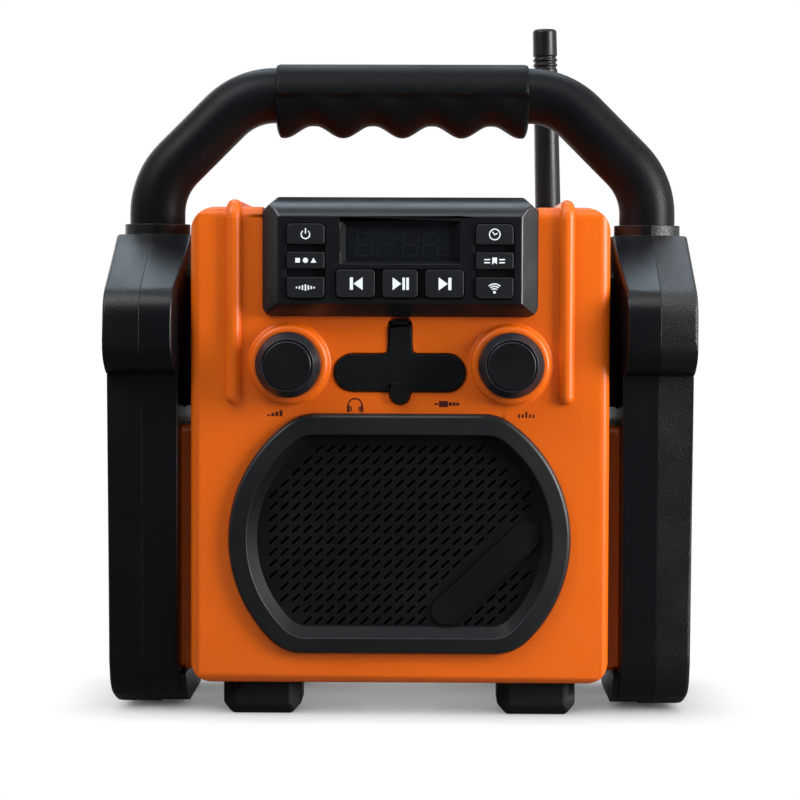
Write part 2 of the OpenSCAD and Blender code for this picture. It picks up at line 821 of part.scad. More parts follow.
module control_nuts() {
    color(steel) for (s = [-1, 1]) difference() {
        translate([s * knob_x, face_y, knob_z]) rotate([90, 0, 0]) cylinder(r = 5.6, h = 2, $fn = 6);
        rod_y(s * knob_x, knob_z, bushing_r + fit, face_y - 3, face_y + 1);
    }
}

module control_board() {
    color(board_green) difference() {
        along_y(face_y + 11, face_y + 12.6)
            rounded(-control_half, control_half, knob_z - 13, knob_z + 12, 2);
        for (s = [-1, 1]) rod_y(s * control_post, knob_z - 8, 1.2, face_y + 10, face_y + 14);
    }
}

// The rubber jack cover: a cross with a tongue up to its hinge, a pull tab and two plugs.
module jack_cover() {
    color(rubber) difference() {
        union() {
            intersection() {
                along_y(cover_front, cover_back) cover_outline(0);
                // the tongue thins towards its hinge
                along_x(-body_w, body_w) polygon([
                    [cover_front, 0], [cover_back, 0], [cover_back, hinge_z + 1.2],
                    [cover_front + 1, hinge_z + 1.2], [cover_front, hinge_z - 3.2]]);
            }
            along_y(cover_front - 1.2, cover_back) {
                translate([0, tab_z]) circle(tab_r);
                translate([-tab_r, tab_z]) square([2 * tab_r, tab_lip - 1]);
                translate([1 - tab_r, tab_z]) square([2 * tab_r - 2, tab_lip]);
                for (s = [-1, 1]) translate([s * (tab_r - 1), tab_z + tab_lip - 1]) circle(1);
            }
            rod_x(hinge_y, hinge_z, 1.5, -3.3, 3.3);
            for (s = [-1, 1]) rod_y(s * jack_x, cover_z, 2.7, cover_back - 0.5, face_y + 3.3);
        }
        rod_x(hinge_y, hinge_z, 0.6 + run, -8, 8);
    }
}

module cover_pin() {
    color(steel) rod_x(hinge_y, hinge_z, 0.6, -6.7, 6.7);
}

// A jack with its barrel in the case wall and its body on the control board.
module jack(x) {
    color("#23272b") difference() {
        union() {
            rod_y(x, cover_z, jack_r, recess_y + 0.2, face_y + 5.5);
            box([x - 6, face_y + 5, cover_z - 6], [x + 6, face_y + 11, cover_z + 6]);
        }
        rod_y(x, cover_z, 3.3, face_y, face_y + 3.8);
        rod_y(x, cover_z, 1.8, face_y, face_y + 10.5);
    }
}

// ---------------------------------------------------------------- speaker

// The moulded ring round the grille: bevelled outside, sloping in to the grille.
module grille_frame() {
    color(black) difference() {
        union() {
            difference() {
                speaker_taper(frame_front, face_y, frame_r - 1.6, frame_r,
                              frame_low + 1.6, frame_low, frame_high - 1.6, frame_high);
                along_y(frame_front - 1, face_y + 1)
                    corner_cuts(frame_r, frame_low, frame_high, frame_round);
            }
            along_y(face_y - 0.5, baffle_y)
                speaker_outline(frame_r - 4.4, frame_low + 4.4, frame_high - 4.4);
        }
        // the mouth: sloping sides and sill, and a steep top
        difference() {
            speaker_taper(frame_front - 0.1, grille_y + 0.1, mouth_r + 4.1, mouth_r,
                          mouth_low - 4.3, mouth_low, mouth_high + 0.4, mouth_high);
            along_y(frame_front - 1, grille_y + 1)
                corner_cuts(mouth_r + 4.1, mouth_low - 4.3, mouth_high + 0.4, mouth_round);
        }
        along_y(grille_y, baffle_y + 1)
            speaker_outline(grille_r + 0.2, grille_low - 0.2, grille_high + 0.2);
    }
}

// Is a slot's centre clear of the frame and of the plain pad?
function in_frame(p) =
    p[1] > mouth_low + slot_len / 2 - 0.6 && p[1] < mouth_high - slot_len / 2
    && norm([max(abs(p[0]) - arc_x, 0), p[1] - arc_z]) < mouth_r - slot_len / 2 - 0.4;

function pad_distance(p) =
    let (d = p - pad_centre,
         u = d[0] * cos(pad_angle) + d[1] * sin(pad_angle),
         v = d[1] * cos(pad_angle) - d[0] * sin(pad_angle))
    norm([max(abs(u) - pad_len / 2, 0), v]);

// One slanted slot with rounded ends.
module slot(p) {
    r = slot_w / 2;
    half = slot_len / 2 - r;
    translate(p) rotate(slot_turn) polygon([
        for (a = [-60:60:60]) [half + r * cos(a), r * sin(a)],
        for (a = [120:60:240]) [-half + r * cos(a), r * sin(a)]]);
}

// The slots of the grille, in square rows and columns.
module slots() {
    columns = floor((arc_x + mouth_r) / slot_pitch);
    for (i = [-columns:columns]) for (j = [0:slot_rows - 1]) {
        p = [i * slot_pitch, slot_mid + (j - (slot_rows - 1) / 2) * slot_pitch];
        if (in_frame(p) && pad_distance(p) > pad_r + slot_len / 2 + 0.5) slot(p);
    }
}

module speaker_grille() {
    color(black) {
        along_y(grille_y, grille_y + 2) difference() {
            speaker_outline(grille_r, grille_low, grille_high);
            slots();
        }
        // the plain raised pad
        translate([pad_centre[0], grille_y, pad_centre[1]]) rotate([90, -pad_angle, 0])
            linear_extrude(1.2)
                rounded(-pad_len / 2 - pad_r, pad_len / 2 + pad_r, -pad_r, pad_r, pad_r - 0.01);
    }
}

module grille_cloth() {
    color("#0c0d0e") along_y(grille_y + 2.1, grille_y + 2.6)
        speaker_outline(grille_r - 0.4, grille_low + 0.4, grille_high - 0.4);
}

module speaker_basket() {
    back = baffle_y + 2.5;
    throat = driver_r - 12;
    color("#3b4046") difference() {
        translate([0, back, driver_z]) rotate([-90, 0, 0]) rotate_extrude() polygon([
            [driver_r - 1.5, 0], [driver_rim, 0], [driver_rim, 1.8], [driver_r + 0.2, 1.8],
            [throat, 21], [throat, 24], [throat - 9, 24], [throat - 9, 22], [throat - 2.5, 21],
            [driver_r - 1.5, 2.5]]);
        driver_screws(screw_r, back - 1, back + 3);
        for (a = [0:60:300]) translate([0, back, driver_z]) rotate([0, a, 0])
            translate([throat + 1, 4, -7]) cube([20, 15, 14]);
    }
}

// The cone with its rolled surround, voice coil former and dust cap.
module speaker_cone() {
    back = baffle_y + 2.5;
    roll = driver_r - 5.5;
    coil = 12;
    color("#202326") translate([0, back, driver_z]) rotate([-90, 0, 0]) rotate_extrude() {
        difference() {
            translate([roll, 0.6]) circle(3.2);
            translate([roll, 0.6]) circle(2.6);
            translate([roll - 9, 0.6]) square([20, 5]);
        }
        polygon([
            [roll - 3.1, 0], [roll + 3.8, 0], [roll + 3.8, 0.6], [roll - 2.9, 0.6],
            [coil + 0.4, 16.4], [coil + 0.4, 21.8], [coil - 0.4, 21.8], [coil - 0.4, 16],
            [0, 13.4], [0, 12.6], [coil, 15.2]]);
    }
}

module speaker_magnet() {
    back = baffle_y + 2.5;
    color("#54585c") difference() {
        union() {
            rod_y(0, driver_z, magnet_r, back + 24, back + 28);
            rod_y(0, driver_z, magnet_r - 2, back + 28, back + 38);
            rod_y(0, driver_z, magnet_r, back + 38, back + 41);
        }
        difference() {
            rod_y(0, driver_z, 13.4, back + 20, back + 36);
            rod_y(0, driver_z, 10.8, back + 19, back + 37);
        }
    }
}

module speaker_screws() {
    back = baffle_y + 2.5;
    color(steel) {
        driver_screws(screw_r - fit, baffle_y, back + 2);
        driver_screws(2.7, back + 1.8, back + 3.6);
    }
}

// ---------------------------------------------------------------- inside

module main_board() {
    color(board_green) difference() {
        along_y(10, 11.6) rounded(-board_half, board_half, board_low, top_z - 18, 2);
        for (p = board_posts) rod_y(p[0], p[1], 1.2, 9, 13);
    }
}

// The larger parts on the main board: capacitors, coil, chips and a heat sink.
module board_parts() {
    sink = board_half - 28;
    color("#2a2d31") {
        for (i = [0:3]) rod_y(-50 + i * 14, board_low + 14, 5, -6, 10);
        box([-40, 7.6, board_low + 34], [-22, 10, board_low + 52]);
        box([-8, 8, board_low + 32], [6, 10, board_low + 42]);
        rod_y(28, board_low + 18, 8, 1, 10);
    }
    color(steel) {
        for (i = [0:5])
            box([sink, -8, board_low + 12 + i * 5], [sink + 22, 10, board_low + 13.6 + i * 5]);
        box([sink, 7, board_low + 11], [sink + 22, 10, board_low + 40]);
    }
}

module battery_tray() {
    out_w = door_half_w + 3;
    out_h = door_half_h + 3;
    color(black) difference() {
        union() {
            along_y(bay_floor, back_inner_y) difference() {
                rounded(-bay_half_w - 2, bay_half_w + 2, bay_z - bay_half_h - 2, bay_z + bay_half_h + 2, 3);
                rounded(-bay_half_w, bay_half_w, bay_z - bay_half_h, bay_z + bay_half_h, 2);
            }
            along_y(bay_floor, bay_floor + 2)
                rounded(-bay_half_w - 1, bay_half_w + 1, bay_z - bay_half_h - 1, bay_z + bay_half_h + 1, 2);
            // rim that the door closes on
            along_y(back_inner_y - 2, back_inner_y) difference() {
                rounded(-out_w, out_w, bay_z - out_h, bay_z + out_h, 3);
                rounded(-bay_half_w, bay_half_w, bay_z - bay_half_h, bay_z + bay_half_h, 2);
            }
            box([-6, back_y - 7, door_screw_z - 3.4], [6, back_inner_y, bay_z + bay_half_h + 1]);
            // cradle ribs between the two rows of cells
            for (x = [-bay_half_w / 2, bay_half_w / 2])
                box([x - 1, bay_floor + 1, bay_z - 0.6], [x + 1, cell_y - 8, bay_z + 0.6]);
        }
        rod_y(0, door_screw_z, 2.7, back_y - 8, back_y);
    }
}

// End plates with coiled springs on one side of each row.
module battery_contacts() {
    color(steel) for (row = [-1, 1]) {
        z = bay_z + row * cell_row;
        for (s = [-1, 1])
            box([s * (bay_half_w - 0.3) - 0.25, cell_y - 9, z - 9],
                [s * (bay_half_w - 0.3) + 0.25, cell_y + 9, z + 9]);
        translate([row * (bay_half_w - 0.55), cell_y, z]) rotate([0, -90 * row, 0]) rotate_extrude()
            polygon([[5.2, 0], [6.2, 0], [6.2, 1], [5.2, 2], [4.2, 3], [3.2, 3.6], [2.6, 3.2], [4.2, 2]]);
    }
}

module battery_cells() {
    color("#8a6a2c") for (row = [-1, 1]) for (s = [-1, 1]) {
        z = bay_z + row * cell_row;
        x0 = (s < 0 ? -cell_len - 0.6 : 0.6) - row * 1.4;
        rod_x(cell_y, z, cell_r, x0, x0 + cell_len);
        rod_x(cell_y, z, 3.2, x0 - 0.6, x0 + cell_len + 0.6);
    }
}

// The battery door turns on a pin along its bottom edge.
module battery_door() {
    color(orange) difference() {
        union() {
            along_y(door_y, back_y)
                rounded(-door_half_w, door_half_w, door_pin_z, bay_z + door_half_h, 1.6);
            rod_x(door_pin_y, door_pin_z, 1.2, -door_half_w, door_half_w);
            // raised grip bars
            for (i = [-3:3]) if (i != 0) along_y(back_y - 0.5, back_y + 0.9)
                rounded(i * 14 - 2, i * 14 + 2, bay_z - 18, bay_z + 12, 1.9);
        }
        rod_x(door_pin_y, door_pin_z, 0.7 + run, -door_half_w - 1, door_half_w + 1);
        rod_y(0, door_screw_z, 6.8, back_y - 1.3, back_y + 1);
        rod_y(0, door_screw_z, 2 + run, door_y - 1, back_y + 1);
        box([-door_half_w - 1, door_y - 0.1, door_pin_z - 1],
            [-door_half_w + 0.01, back_y + 0.1, door_pin_z + 2]);
    }
}

module door_pin() {
    color(steel) rod_x(door_pin_y, door_pin_z, 0.7, -door_half_w - 2.6, door_half_w + 2.6);
}

// Coin-slotted screw that holds the door's top edge.
module door_screw() {
    color(black) difference() {
        union() {
            rod_y(0, door_screw_z, 2, back_y - 6.6, back_y);
            rod_y(0, door_screw_z, 6.3, back_y - 1.2, back_y + 1.4);
        }
        box([-5, back_y + 0.2, door_screw_z - 0.9], [5, back_y + 2, door_screw_z + 0.9]);
    }
}

// ---------------------------------------------------------------- back sockets

module dc_socket() {
    color("#23272b") difference() {
        union() {
            rod_y(dc_x, dc_z, 5.5, back_y - 9, back_y - 0.4);
            rod_y(dc_x, dc_z, 7.5, back_inner_y - 2, back_inner_y - 0.05);
        }
        difference() {
            rod_y(dc_x, dc_z, 2.9, back_y - 8, back_y);
            rod_y(dc_x, dc_z, 1, back_y - 9, back_y - 2);
        }
        rod_y(dc_x, dc_z, 4.6, back_y - 1.6, back_y);
    }
}

module dc_cover() {
    color(rubber) difference() {
        union() {
            along_y(back_y + 0.4, back_y + 2.4) {
                translate([dc_x, dc_z]) circle(8);
                translate([dc_x - 3.4, dc_z]) square([6.8, dc_pin_z - dc_z]);
                translate([dc_x - 3, dc_z - 10.5]) square([6, 5]);
            }
            rod_x(dc_pin_y, dc_pin_z, 1.5, dc_x - 3.4, dc_x + 3.4);
            rod_y(dc_x, dc_z, 3.6, back_y - 1, back_y + 1);
        }
        rod_x(dc_pin_y, dc_pin_z, 0.6 + run, dc_x - 8, dc_x + 8);
    }
}

module dc_pin() {
    color(steel) rod_x(dc_pin_y, dc_pin_z, 0.6, dc_x - 6.2, dc_x + 6.2);
}

// ---------------------------------------------------------------- guards

// Front half of a guard's side profile in Y and Z, drawn in by an inset.
// The shoulder slopes down from the collar to a round nose, and a round chin leads back to the column.
function profile_front(inset) = let (
        c = -guard_y + 10 + inset,
        nose = nose_r - inset,
        chin = chin_r - inset,
        sole = 24 - inset
    ) concat(
        [[-15, guard_top - inset]],
        [for (a = [118:15.5:180]) [-guard_y + nose_r + nose * cos(a), nose_z + nose * sin(a)]],
        [for (a = [180:12:252]) [-guard_y + chin_r + chin * cos(a), chin_z + chin * sin(a)]],
        [[c, chin_low], [c + 4, guard_bottom + 44]],
        [for (a = [190:20:270]) [c + 5 + sole + sole * cos(a), guard_bottom + 24 + sole * sin(a)]]
    );

function flip(points) = [for (i = [len(points) - 1:-1:0]) [-points[i][0], points[i][1]]];

function guard_profile(inset) = concat(profile_front(inset), flip(profile_front(inset)));

// The lower column stands slightly inboard of the shoulder, so the two are cut apart here.
module guard_slice(x0, x1, inset, high) {
    along_x(x0, x1) intersection() {
        polygon(guard_profile(inset));
        translate([-200, high ? chin_low : 0]) square([400, high ? 200 : chin_low]);
    }
}

// The shoulder's outline from the front: along its chin it narrows to the column.
module shoulder_outline(inset) {
    out = shoulder_out - inset;
    foot = column_out - chin_in - inset;
    drop = chin_z + 2 - chin_low;
    polygon(concat(
        [[shoulder_in - cheek - 1, guard_top + 1], [shoulder_in - cheek - 1, chin_low - 1],
         [foot, chin_low - 1]],
        [for (a = [90:-15:0]) [foot + (out - foot) * cos(a), chin_low + drop * (1 - sin(a))]],
        [[out, guard_top + 1]]));
}

// One whole guard, solid, with a bowed inner cheek and soft lower corners.
module guard_block(x0, x1, inset) {
    intersection() {
        guard_slice(max(x0, shoulder_in - cheek + inset), min(x1, shoulder_out - inset), inset, true);
        along_y(-guard_y, guard_y) shoulder_outline(inset);
        rod_z(shoulder_in - cheek + inset + cheek_r, 0, cheek_r, 0, guard_top, $fn = 400);
    }
    intersection() {
        guard_slice(max(x0, column_in + inset), min(x1, column_out - inset), inset, false);
        along_y(-guard_y, guard_y) polygon(concat(
            [[column_in - 1, guard_top], [column_in - 1, guard_bottom + inset]],
            [for (a = [-90:15:0]) [column_out - inset - 4 + 4 * cos(a),
                                   guard_bottom + inset + 10 + 10 * sin(a)]],
            [[column_out - inset, guard_top]]));
    }
}

// The toe at the inner half's foot: it stands back from the front and reaches in under the pad.
module guard_toe() {
    intersection() {
        along_x(toe_in, toe_out) intersection() {
            translate([-toe_step, 0]) polygon(guard_profile(0));
            translate([toe_step, 0]) polygon(guard_profile(0));
        }
        along_y(-guard_y, guard_y) rounded(toe_in, toe_out + 5, guard_bottom - 1, pad_low - 0.4, 1.8);
    }
}

// Ring at the top of a guard, round the foot of the handle.
module collar() {
    rod_z(guard_x - 1, 0, collar_r, guard_top - 1, guard_top + collar_h);
}

module guard_bolt_places(r, x0, x1) {
    for (y = [-bolt_y, bolt_y]) for (z = [bolt_low, bolt_mid, bolt_top]) rod_x(y, z, r, x0, x1);
}

// One half of the right-hand guard. The outer half carries a ribbed panel and the bolt wells.
module guard_half(outer) {
    x0 = outer ? guard_x : shoulder_in - cheek;
    x1 = outer ? shoulder_out + 1 : guard_x;
    color(black) difference() {
        union() {
            difference() {
                guard_block(x0, x1, 0);
                // hollow, open towards the parting plane
                guard_block(outer ? guard_x - 1 : column_in + guard_wall,
                            outer ? shoulder_out - guard_wall : guard_x + 1, guard_wall);
            }
            intersection() {
                guard_block(x0, x1, 0.5);
                union() {
                    // saddle that clamps the handle's leg
                    box([shoulder_in - cheek, -19, leg_foot - 4], [shoulder_out - 0.5, 19, guard_top]);
                    guard_bolt_places(7, column_in + 0.5, shoulder_out - 0.5);
                    // stiffening webs
                    for (z = [60, 95, 130])
                        box([column_in + 1, -guard_y, z], [column_out - 1, guard_y, z + 2.4]);
                }
            }
            intersection() {
                collar();
                box([x0, -40, 0], [x1, 40, 400]);
            }
            if (!outer) along_x(half_w + 0.4, shoulder_in + 1)
                rounded(-26, 26, pad_top + 8, guard_top - 16, 4);
        }
        rod_z(guard_x - 1, 0, tube_r + run, leg_foot, guard_top + 20);
        guard_bolt_places(bolt_r + 0.1, column_in - 2, shoulder_out + 2);
        if (outer) {
            guard_bolt_places(4.6, bolt_head_x, shoulder_out + 2);
            // sunk panel with upright bars left standing
            along_x(column_out - 1.8, shoulder_out + 2) difference() {
                rounded(-guard_y + 24, guard_y - 24, 44, chin_low - 3.5, 6);
                for (i = [-3:3]) rounded(i * 11 - 2.6, i * 11 + 2.6, 50, chin_low - 9.5, 2.5);
            }
        } else {
            // room for the toe, which stands back here
            box([column_in - 1, -guard_y, 0], [toe_out, guard_y, guard_bottom + 3.4]);
        }
    }
    if (!outer) color(black) guard_toe();
}

module guard_bolts() {
    color(steel) both_sides() for (y = [-bolt_y, bolt_y]) for (z = [bolt_low, bolt_mid, bolt_top])
        difference() {
            union() {
                rod_x(y, z, bolt_r, z == bolt_top ? shoulder_in + 1.5 : half_w - 5, bolt_head_x);
                rod_x(y, z, 4, bolt_head_x, bolt_head_x + 3);
            }
            translate([bolt_head_x + 1.4, y, z]) rotate([0, 90, 0]) cylinder(r = 2.2, h = 3, $fn = 6);
        }
}

// ---------------------------------------------------------------- handle

module tube_section(swell) {
    difference() {
        circle(tube_r + swell);
        circle(tube_bore - swell);
    }
}

// A bend of the tube through 45 degrees that starts at an angle from the X axis.
module tube_bend(start) {
    rotate([90, 0, 0]) rotate([0, 0, start]) rotate_extrude(angle = 45)
        translate([bend_r, 0]) tube_section(0);
}

// One leg: upright, bend, diagonal and bend into the top run. The straight stretches are a hair
// larger than the bends and lap into them.
module tube_leg() {
    leg_x = guard_x - 1;
    bend_z = handle_z - corner - tangent;
    along_z(leg_foot + 0.2, bend_z + lap) translate([leg_x, 0]) tube_section(hair);
    translate([leg_x - bend_r, 0, bend_z]) tube_bend(0);
    translate([leg_x, 0, handle_z - corner]) rotate([0, -45, 0]) translate([0, 0, tangent - lap])
        linear_extrude(diagonal + 2 * lap) tube_section(hair);
    translate([leg_x - corner - tangent, 0, handle_z - bend_r]) tube_bend(45);
}

module handle_tube() {
    top_half = guard_x - 1 - corner - tangent + lap;
    color(black) union() {
        both_sides() tube_leg();
        translate([0, 0, handle_z]) along_x(-top_half, top_half) tube_section(hair);
    }
}

// Drop of the grip's underside below the tube, along its length: five bumps, four hollows.
function finger_drop(x) = 3.9 - 2.8 * cos(180 + 360 * x / grip_finger);

// Section of the grip at one place: round on top, drawn down underneath.
function grip_ring(x, r, drop, n) = [
    for (i = [0:n - 1]) let (
        a = 360 * i / n,
        y = r * cos(a),
        z = r * sin(a))
        [x, y * (z < 0 ? 1 - 0.1 * drop / 6 : 1), handle_z + (z < 0 ? z * (tube_r + drop) / r : z)]
];

module grip_sleeve() {
    n = 28;
    steps = 60;
    end = 1.6;
    half = grip_len / 2;
    bore = (tube_r + 0.1) / cos(180 / n);
    xs = [for (i = [0:steps]) -half + end + i * (grip_len - 2 * end) / steps];
    outer = concat(
        [grip_ring(-half, tube_r + 0.7, 0.7, n)],
        [for (x = xs) grip_ring(x, tube_r + 1.6, max(1.2, finger_drop(x)), n)],
        [grip_ring(half, tube_r + 0.7, 0.7, n)]);
    inner = [for (x = [half, -half]) grip_ring(x, bore, bore - tube_r, n)];
    rings = concat(outer, inner);
    count = len(rings);
    color(rubber) polyhedron(
        points = [for (ring = rings) for (p = ring) p],
        faces = [
            for (k = [0:count - 1]) for (i = [0:n - 1])
                for (t = [0, 1]) let (
                    a = k * n + i,
                    b = k * n + (i + 1) % n,
                    c = ((k + 1) % count) * n + i,
                    d = ((k + 1) % count) * n + (i + 1) % n)
                    t == 0 ? [a, b, c] : [b, d, c]
        ]);
}

// ---------------------------------------------------------------- antenna

module bracket_outline(gap) {
    rounded(antenna_x - 11 - gap, antenna_x + 11 + gap, antenna_z - 13 - gap, antenna_z + 12 + gap, 4 + gap);
}

module antenna_base() {
    color(black) difference() {
        union() {
            rod_y(antenna_x, antenna_z, 9.5, back_y, antenna_foot - 0.4);
            along_y(back_y, back_y + 2.5) bracket_outline(0);
        }
        rod_y(antenna_x, antenna_z, 3 + fit, back_y - 1, antenna_foot + 1);
    }
}

// The antenna: a knuckle at its foot, a slightly tapered rubber rod and a grooved tip.
module antenna_mast() {
    len = antenna_top - antenna_z;
    tip = antenna_r * 0.92;
    color(rubber) translate([antenna_x, 0, antenna_z]) rotate([0, antenna_lean, 0]) difference() {
        union() {
            rod_y(0, 0, 8.5, antenna_foot, antenna_y + antenna_r - 0.1);
            translate([0, antenna_y, 0]) rotate_extrude() polygon(concat(
                [[0, 2], [antenna_r, 2], [antenna_r, 10]],
                [for (i = [0:2]) for (q = [[0, 0], [-0.6, 0.4], [-0.6, 1.2], [0, 1.6]])
                    [tip + 0.08 + q[0], len - 19 + i * 2.4 + q[1]]],
                [for (a = [0:18:90]) [tip - 1.5 + 1.5 * cos(a), len - 1.5 + 1.5 * sin(a)]],
                [[0, len]]));
        }
        rod_y(0, 0, 3 + run, antenna_foot - 1, antenna_y + antenna_r + 1);
        rod_y(0, 0, 5.4, antenna_y + antenna_r - 2.2, antenna_y + antenna_r + 1);
    }
}

module antenna_pin() {
    color(steel) difference() {
        union() {
            rod_y(antenna_x, antenna_z, 3, back_y - 4, antenna_y + antenna_r - 2);
            rod_y(antenna_x, antenna_z, 5, antenna_y + antenna_r - 2.1, antenna_y + antenna_r - 0.4);
        }
        box([antenna_x - 4, antenna_y + antenna_r - 1.1, antenna_z - 0.6],
            [antenna_x + 4, antenna_y + antenna_r, antenna_z + 0.6]);
    }
}

front_shell();
rear_shell();
shell_seal();
shell_screws();
feet();
foot_screws();
display_bezel();
display_lens();
lcd_panel();
key_board();
key_switches();
key_cap(0);  // key_power
key_cap(1);  // key_mode
key_cap(2);  // key_scan
key_cap(3);  // key_clock
key_cap(4);  // key_memory
key_cap(5);  // key_link
key_cap(6);  // key_previous
key_cap(7);  // key_play
key_cap(8);  // key_next
knob(-knob_x);  // volume_knob
control_shaft(-knob_x);  // volume_shaft
control_body(-knob_x, 10);  // volume_pot
knob(knob_x);  // tuning_knob
control_shaft(knob_x);  // tuning_shaft
control_body(knob_x, 11);  // tuning_encoder
control_nuts();
control_board();
jack_cover();
cover_pin();
jack(-jack_x);  // headphone_jack
jack(jack_x);  // input_jack
grille_frame();
speaker_grille();
grille_cloth();
speaker_basket();
speaker_cone();
speaker_magnet();
speaker_screws();
main_board();
board_parts();
battery_tray();
battery_contacts();
battery_cells();
battery_door();
door_pin();
door_screw();
dc_socket();
dc_cover();
dc_pin();
mirror([1, 0, 0]) guard_half(true);  // left_guard_outer
mirror([1, 0, 0]) guard_half(false);  // left_guard_inner
guard_half(true);  // right_guard_outer
guard_half(false);  // right_guard_inner
guard_bolts();
handle_tube();
grip_sleeve();
antenna_base();
antenna_mast();
antenna_pin();
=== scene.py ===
import json
import math

import bmesh
import bpy
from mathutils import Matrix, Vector
from mathutils.bvhtree import BVHTree
from mathutils.kdtree import KDTree

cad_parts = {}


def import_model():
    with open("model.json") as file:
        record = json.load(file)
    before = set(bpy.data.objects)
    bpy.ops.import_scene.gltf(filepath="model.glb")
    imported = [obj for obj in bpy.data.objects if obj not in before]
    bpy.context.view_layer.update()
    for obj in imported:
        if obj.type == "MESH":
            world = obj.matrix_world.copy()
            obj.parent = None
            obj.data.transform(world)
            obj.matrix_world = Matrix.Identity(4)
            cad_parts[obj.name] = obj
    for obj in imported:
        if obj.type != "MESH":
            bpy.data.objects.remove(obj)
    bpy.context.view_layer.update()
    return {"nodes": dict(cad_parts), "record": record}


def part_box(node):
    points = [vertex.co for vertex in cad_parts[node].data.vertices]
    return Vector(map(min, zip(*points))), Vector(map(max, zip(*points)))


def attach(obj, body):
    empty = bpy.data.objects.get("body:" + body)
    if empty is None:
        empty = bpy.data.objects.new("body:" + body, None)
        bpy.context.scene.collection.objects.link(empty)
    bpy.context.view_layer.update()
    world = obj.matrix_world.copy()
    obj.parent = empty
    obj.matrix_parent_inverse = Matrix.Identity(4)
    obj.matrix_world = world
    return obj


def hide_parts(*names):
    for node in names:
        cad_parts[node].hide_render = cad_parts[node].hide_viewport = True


# The looks of a jobsite radio. The mouldings are made from the CAD nodes, with their edges rounded. The
# speaker's frame, the grip, the printed marks and the display's segments are made here by formula.
# Sizes are in millimetres, apart from those of the studio, which are in metres.

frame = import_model()
NODES = frame["nodes"]
SLOT_OF = {s["node"]: s["material_slot"] for s in frame["record"]["subparts"]}
BODY_OF = {n: body for body, names in frame["record"]["behaviour"]["bodies"].items() for n in names}
MM = 0.001


def corners(node):
    """The lowest and the highest corner of a CAD node's box."""
    return [[round(value / MM, 2) for value in corner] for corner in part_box(node)]


# Places that the frame gives
FACE_Y = corners("control_nuts")[1][1]          # the nuts sit on the case's face
HOUSING_FACE = corners("display_bezel")[0][1]
KEY_FACE = corners("key_power")[0][1]
LCD_FACE = corners("lcd_panel")[0][1]
KNOB_FACE = corners("volume_knob")[0][1]
FRAME_FACE = corners("grille_frame")[0][1]
SEAM_FRONT = corners("front_shell")[1][1]
SEAM_BACK = corners("rear_shell")[0][1]
SPLIT_X = corners("right_guard_outer")[0][0]    # where a guard's two halves meet
COLLAR_TOP = corners("right_guard_outer")[1][2]


# ------------------------------------------------------------------ studio, in metres and degrees

VIEW_TARGET = (-0.00065, 0, 0.1345)
VIEW_AZIMUTH = 0.7
VIEW_ELEVATION = 2.5
VIEW_ROLL = 0.2
VIEW_DISTANCE = 1.165
VIEW_LENS = 115.95                  # focal length for a sensor 36 mm wide

# Brightness that a reflection finds in front of, above and straight behind the object
GLOSS_FRONT = 0.05
GLOSS_ABOVE = 0.75
GLOSS_BEHIND = 0.4
GLOSS_FLOOR = 0.8                   # the floor's, behind the object
AMBIENT = 0.22                      # the world's own light on the object

MIDDLE = (0, 0, 0.14)
LAMPS = (                           # name, place, target, width and height, radiance, colour
    ("key", (0.80, -0.37, 0.34), MIDDLE, (0.3, 0.5), 25, (1.0, 0.985, 0.965)),
    ("left", (-0.55, -0.40, 0.80), MIDDLE, (0.35, 0.6), 7, (0.92, 0.96, 1.0)),
    ("front_top", (0, -0.4, 0.85), MIDDLE, (1.0, 0.4), 2.9, (0.95, 0.975, 1.0)),
    ("top_rear", (0, 0.52, 1.05), (0, -0.04, 0.2), (0.75, 0.5), 3.0, (0.68, 0.85, 1.0)),
    ("rear", (-0.5, 1.15, 0.5), MIDDLE, (0.8, 0.8), 2.2, (0.97, 0.985, 1.0)),
)

FLOOR_HALF = 6.0
FLOOR_LIT = (0.3, 0.3, 0.3)         # the cloth's colour for the light that it throws back
FLOOR_SEEN = (0.9, 0.9, 0.9)
CLOTH_SCALE = (6.7, 3.12, 1)        # one over half the width and half the depth of the cloth
CLOTH_BACK = 0.235                  # how far the cloth's middle lies behind the object's
# The painted contact shadow: how near the object darkens the floor's glow, and how strongly.
CONTACT_REACH = 0.03                # how near a foot darkens the floor
CONTACT_POWER = 0.55


def camera():
    data = bpy.data.cameras.new("camera")
    obj = bpy.data.objects.new("camera", data)
    bpy.context.scene.collection.objects.link(obj)
    az, el = math.radians(VIEW_AZIMUTH), math.radians(VIEW_ELEVATION)
    back = Vector((math.sin(az) * math.cos(el), -math.cos(az) * math.cos(el), math.sin(el)))
    obj.location = Vector(VIEW_TARGET) + back * VIEW_DISTANCE
    obj.rotation_euler = (-back).to_track_quat("-Z", "Y").to_euler()
    obj.rotation_euler.rotate_axis("Z", math.radians(VIEW_ROLL))
    data.sensor_fit = "HORIZONTAL"
    data.sensor_width = 36
    data.lens = VIEW_LENS
    data.clip_start = 0.05
    data.clip_end = 50
    bpy.context.scene.camera = obj


def lamp(name, place, target, size, radiance, color):
    """A soft box. A radiance of 1 looks white."""
    data = bpy.data.lights.new(name, "AREA")
    data.shape = "RECTANGLE"
    data.size, data.size_y = size
    data.energy = radiance * math.pi * size[0] * size[1]
    data.color = color
    obj = bpy.data.objects.new(name, data)
    bpy.context.scene.collection.objects.link(obj)
    obj.location = place
    direction = Vector(target) - obj.location
    obj.rotation_euler = direction.to_track_quat("-Z", "Y").to_euler()


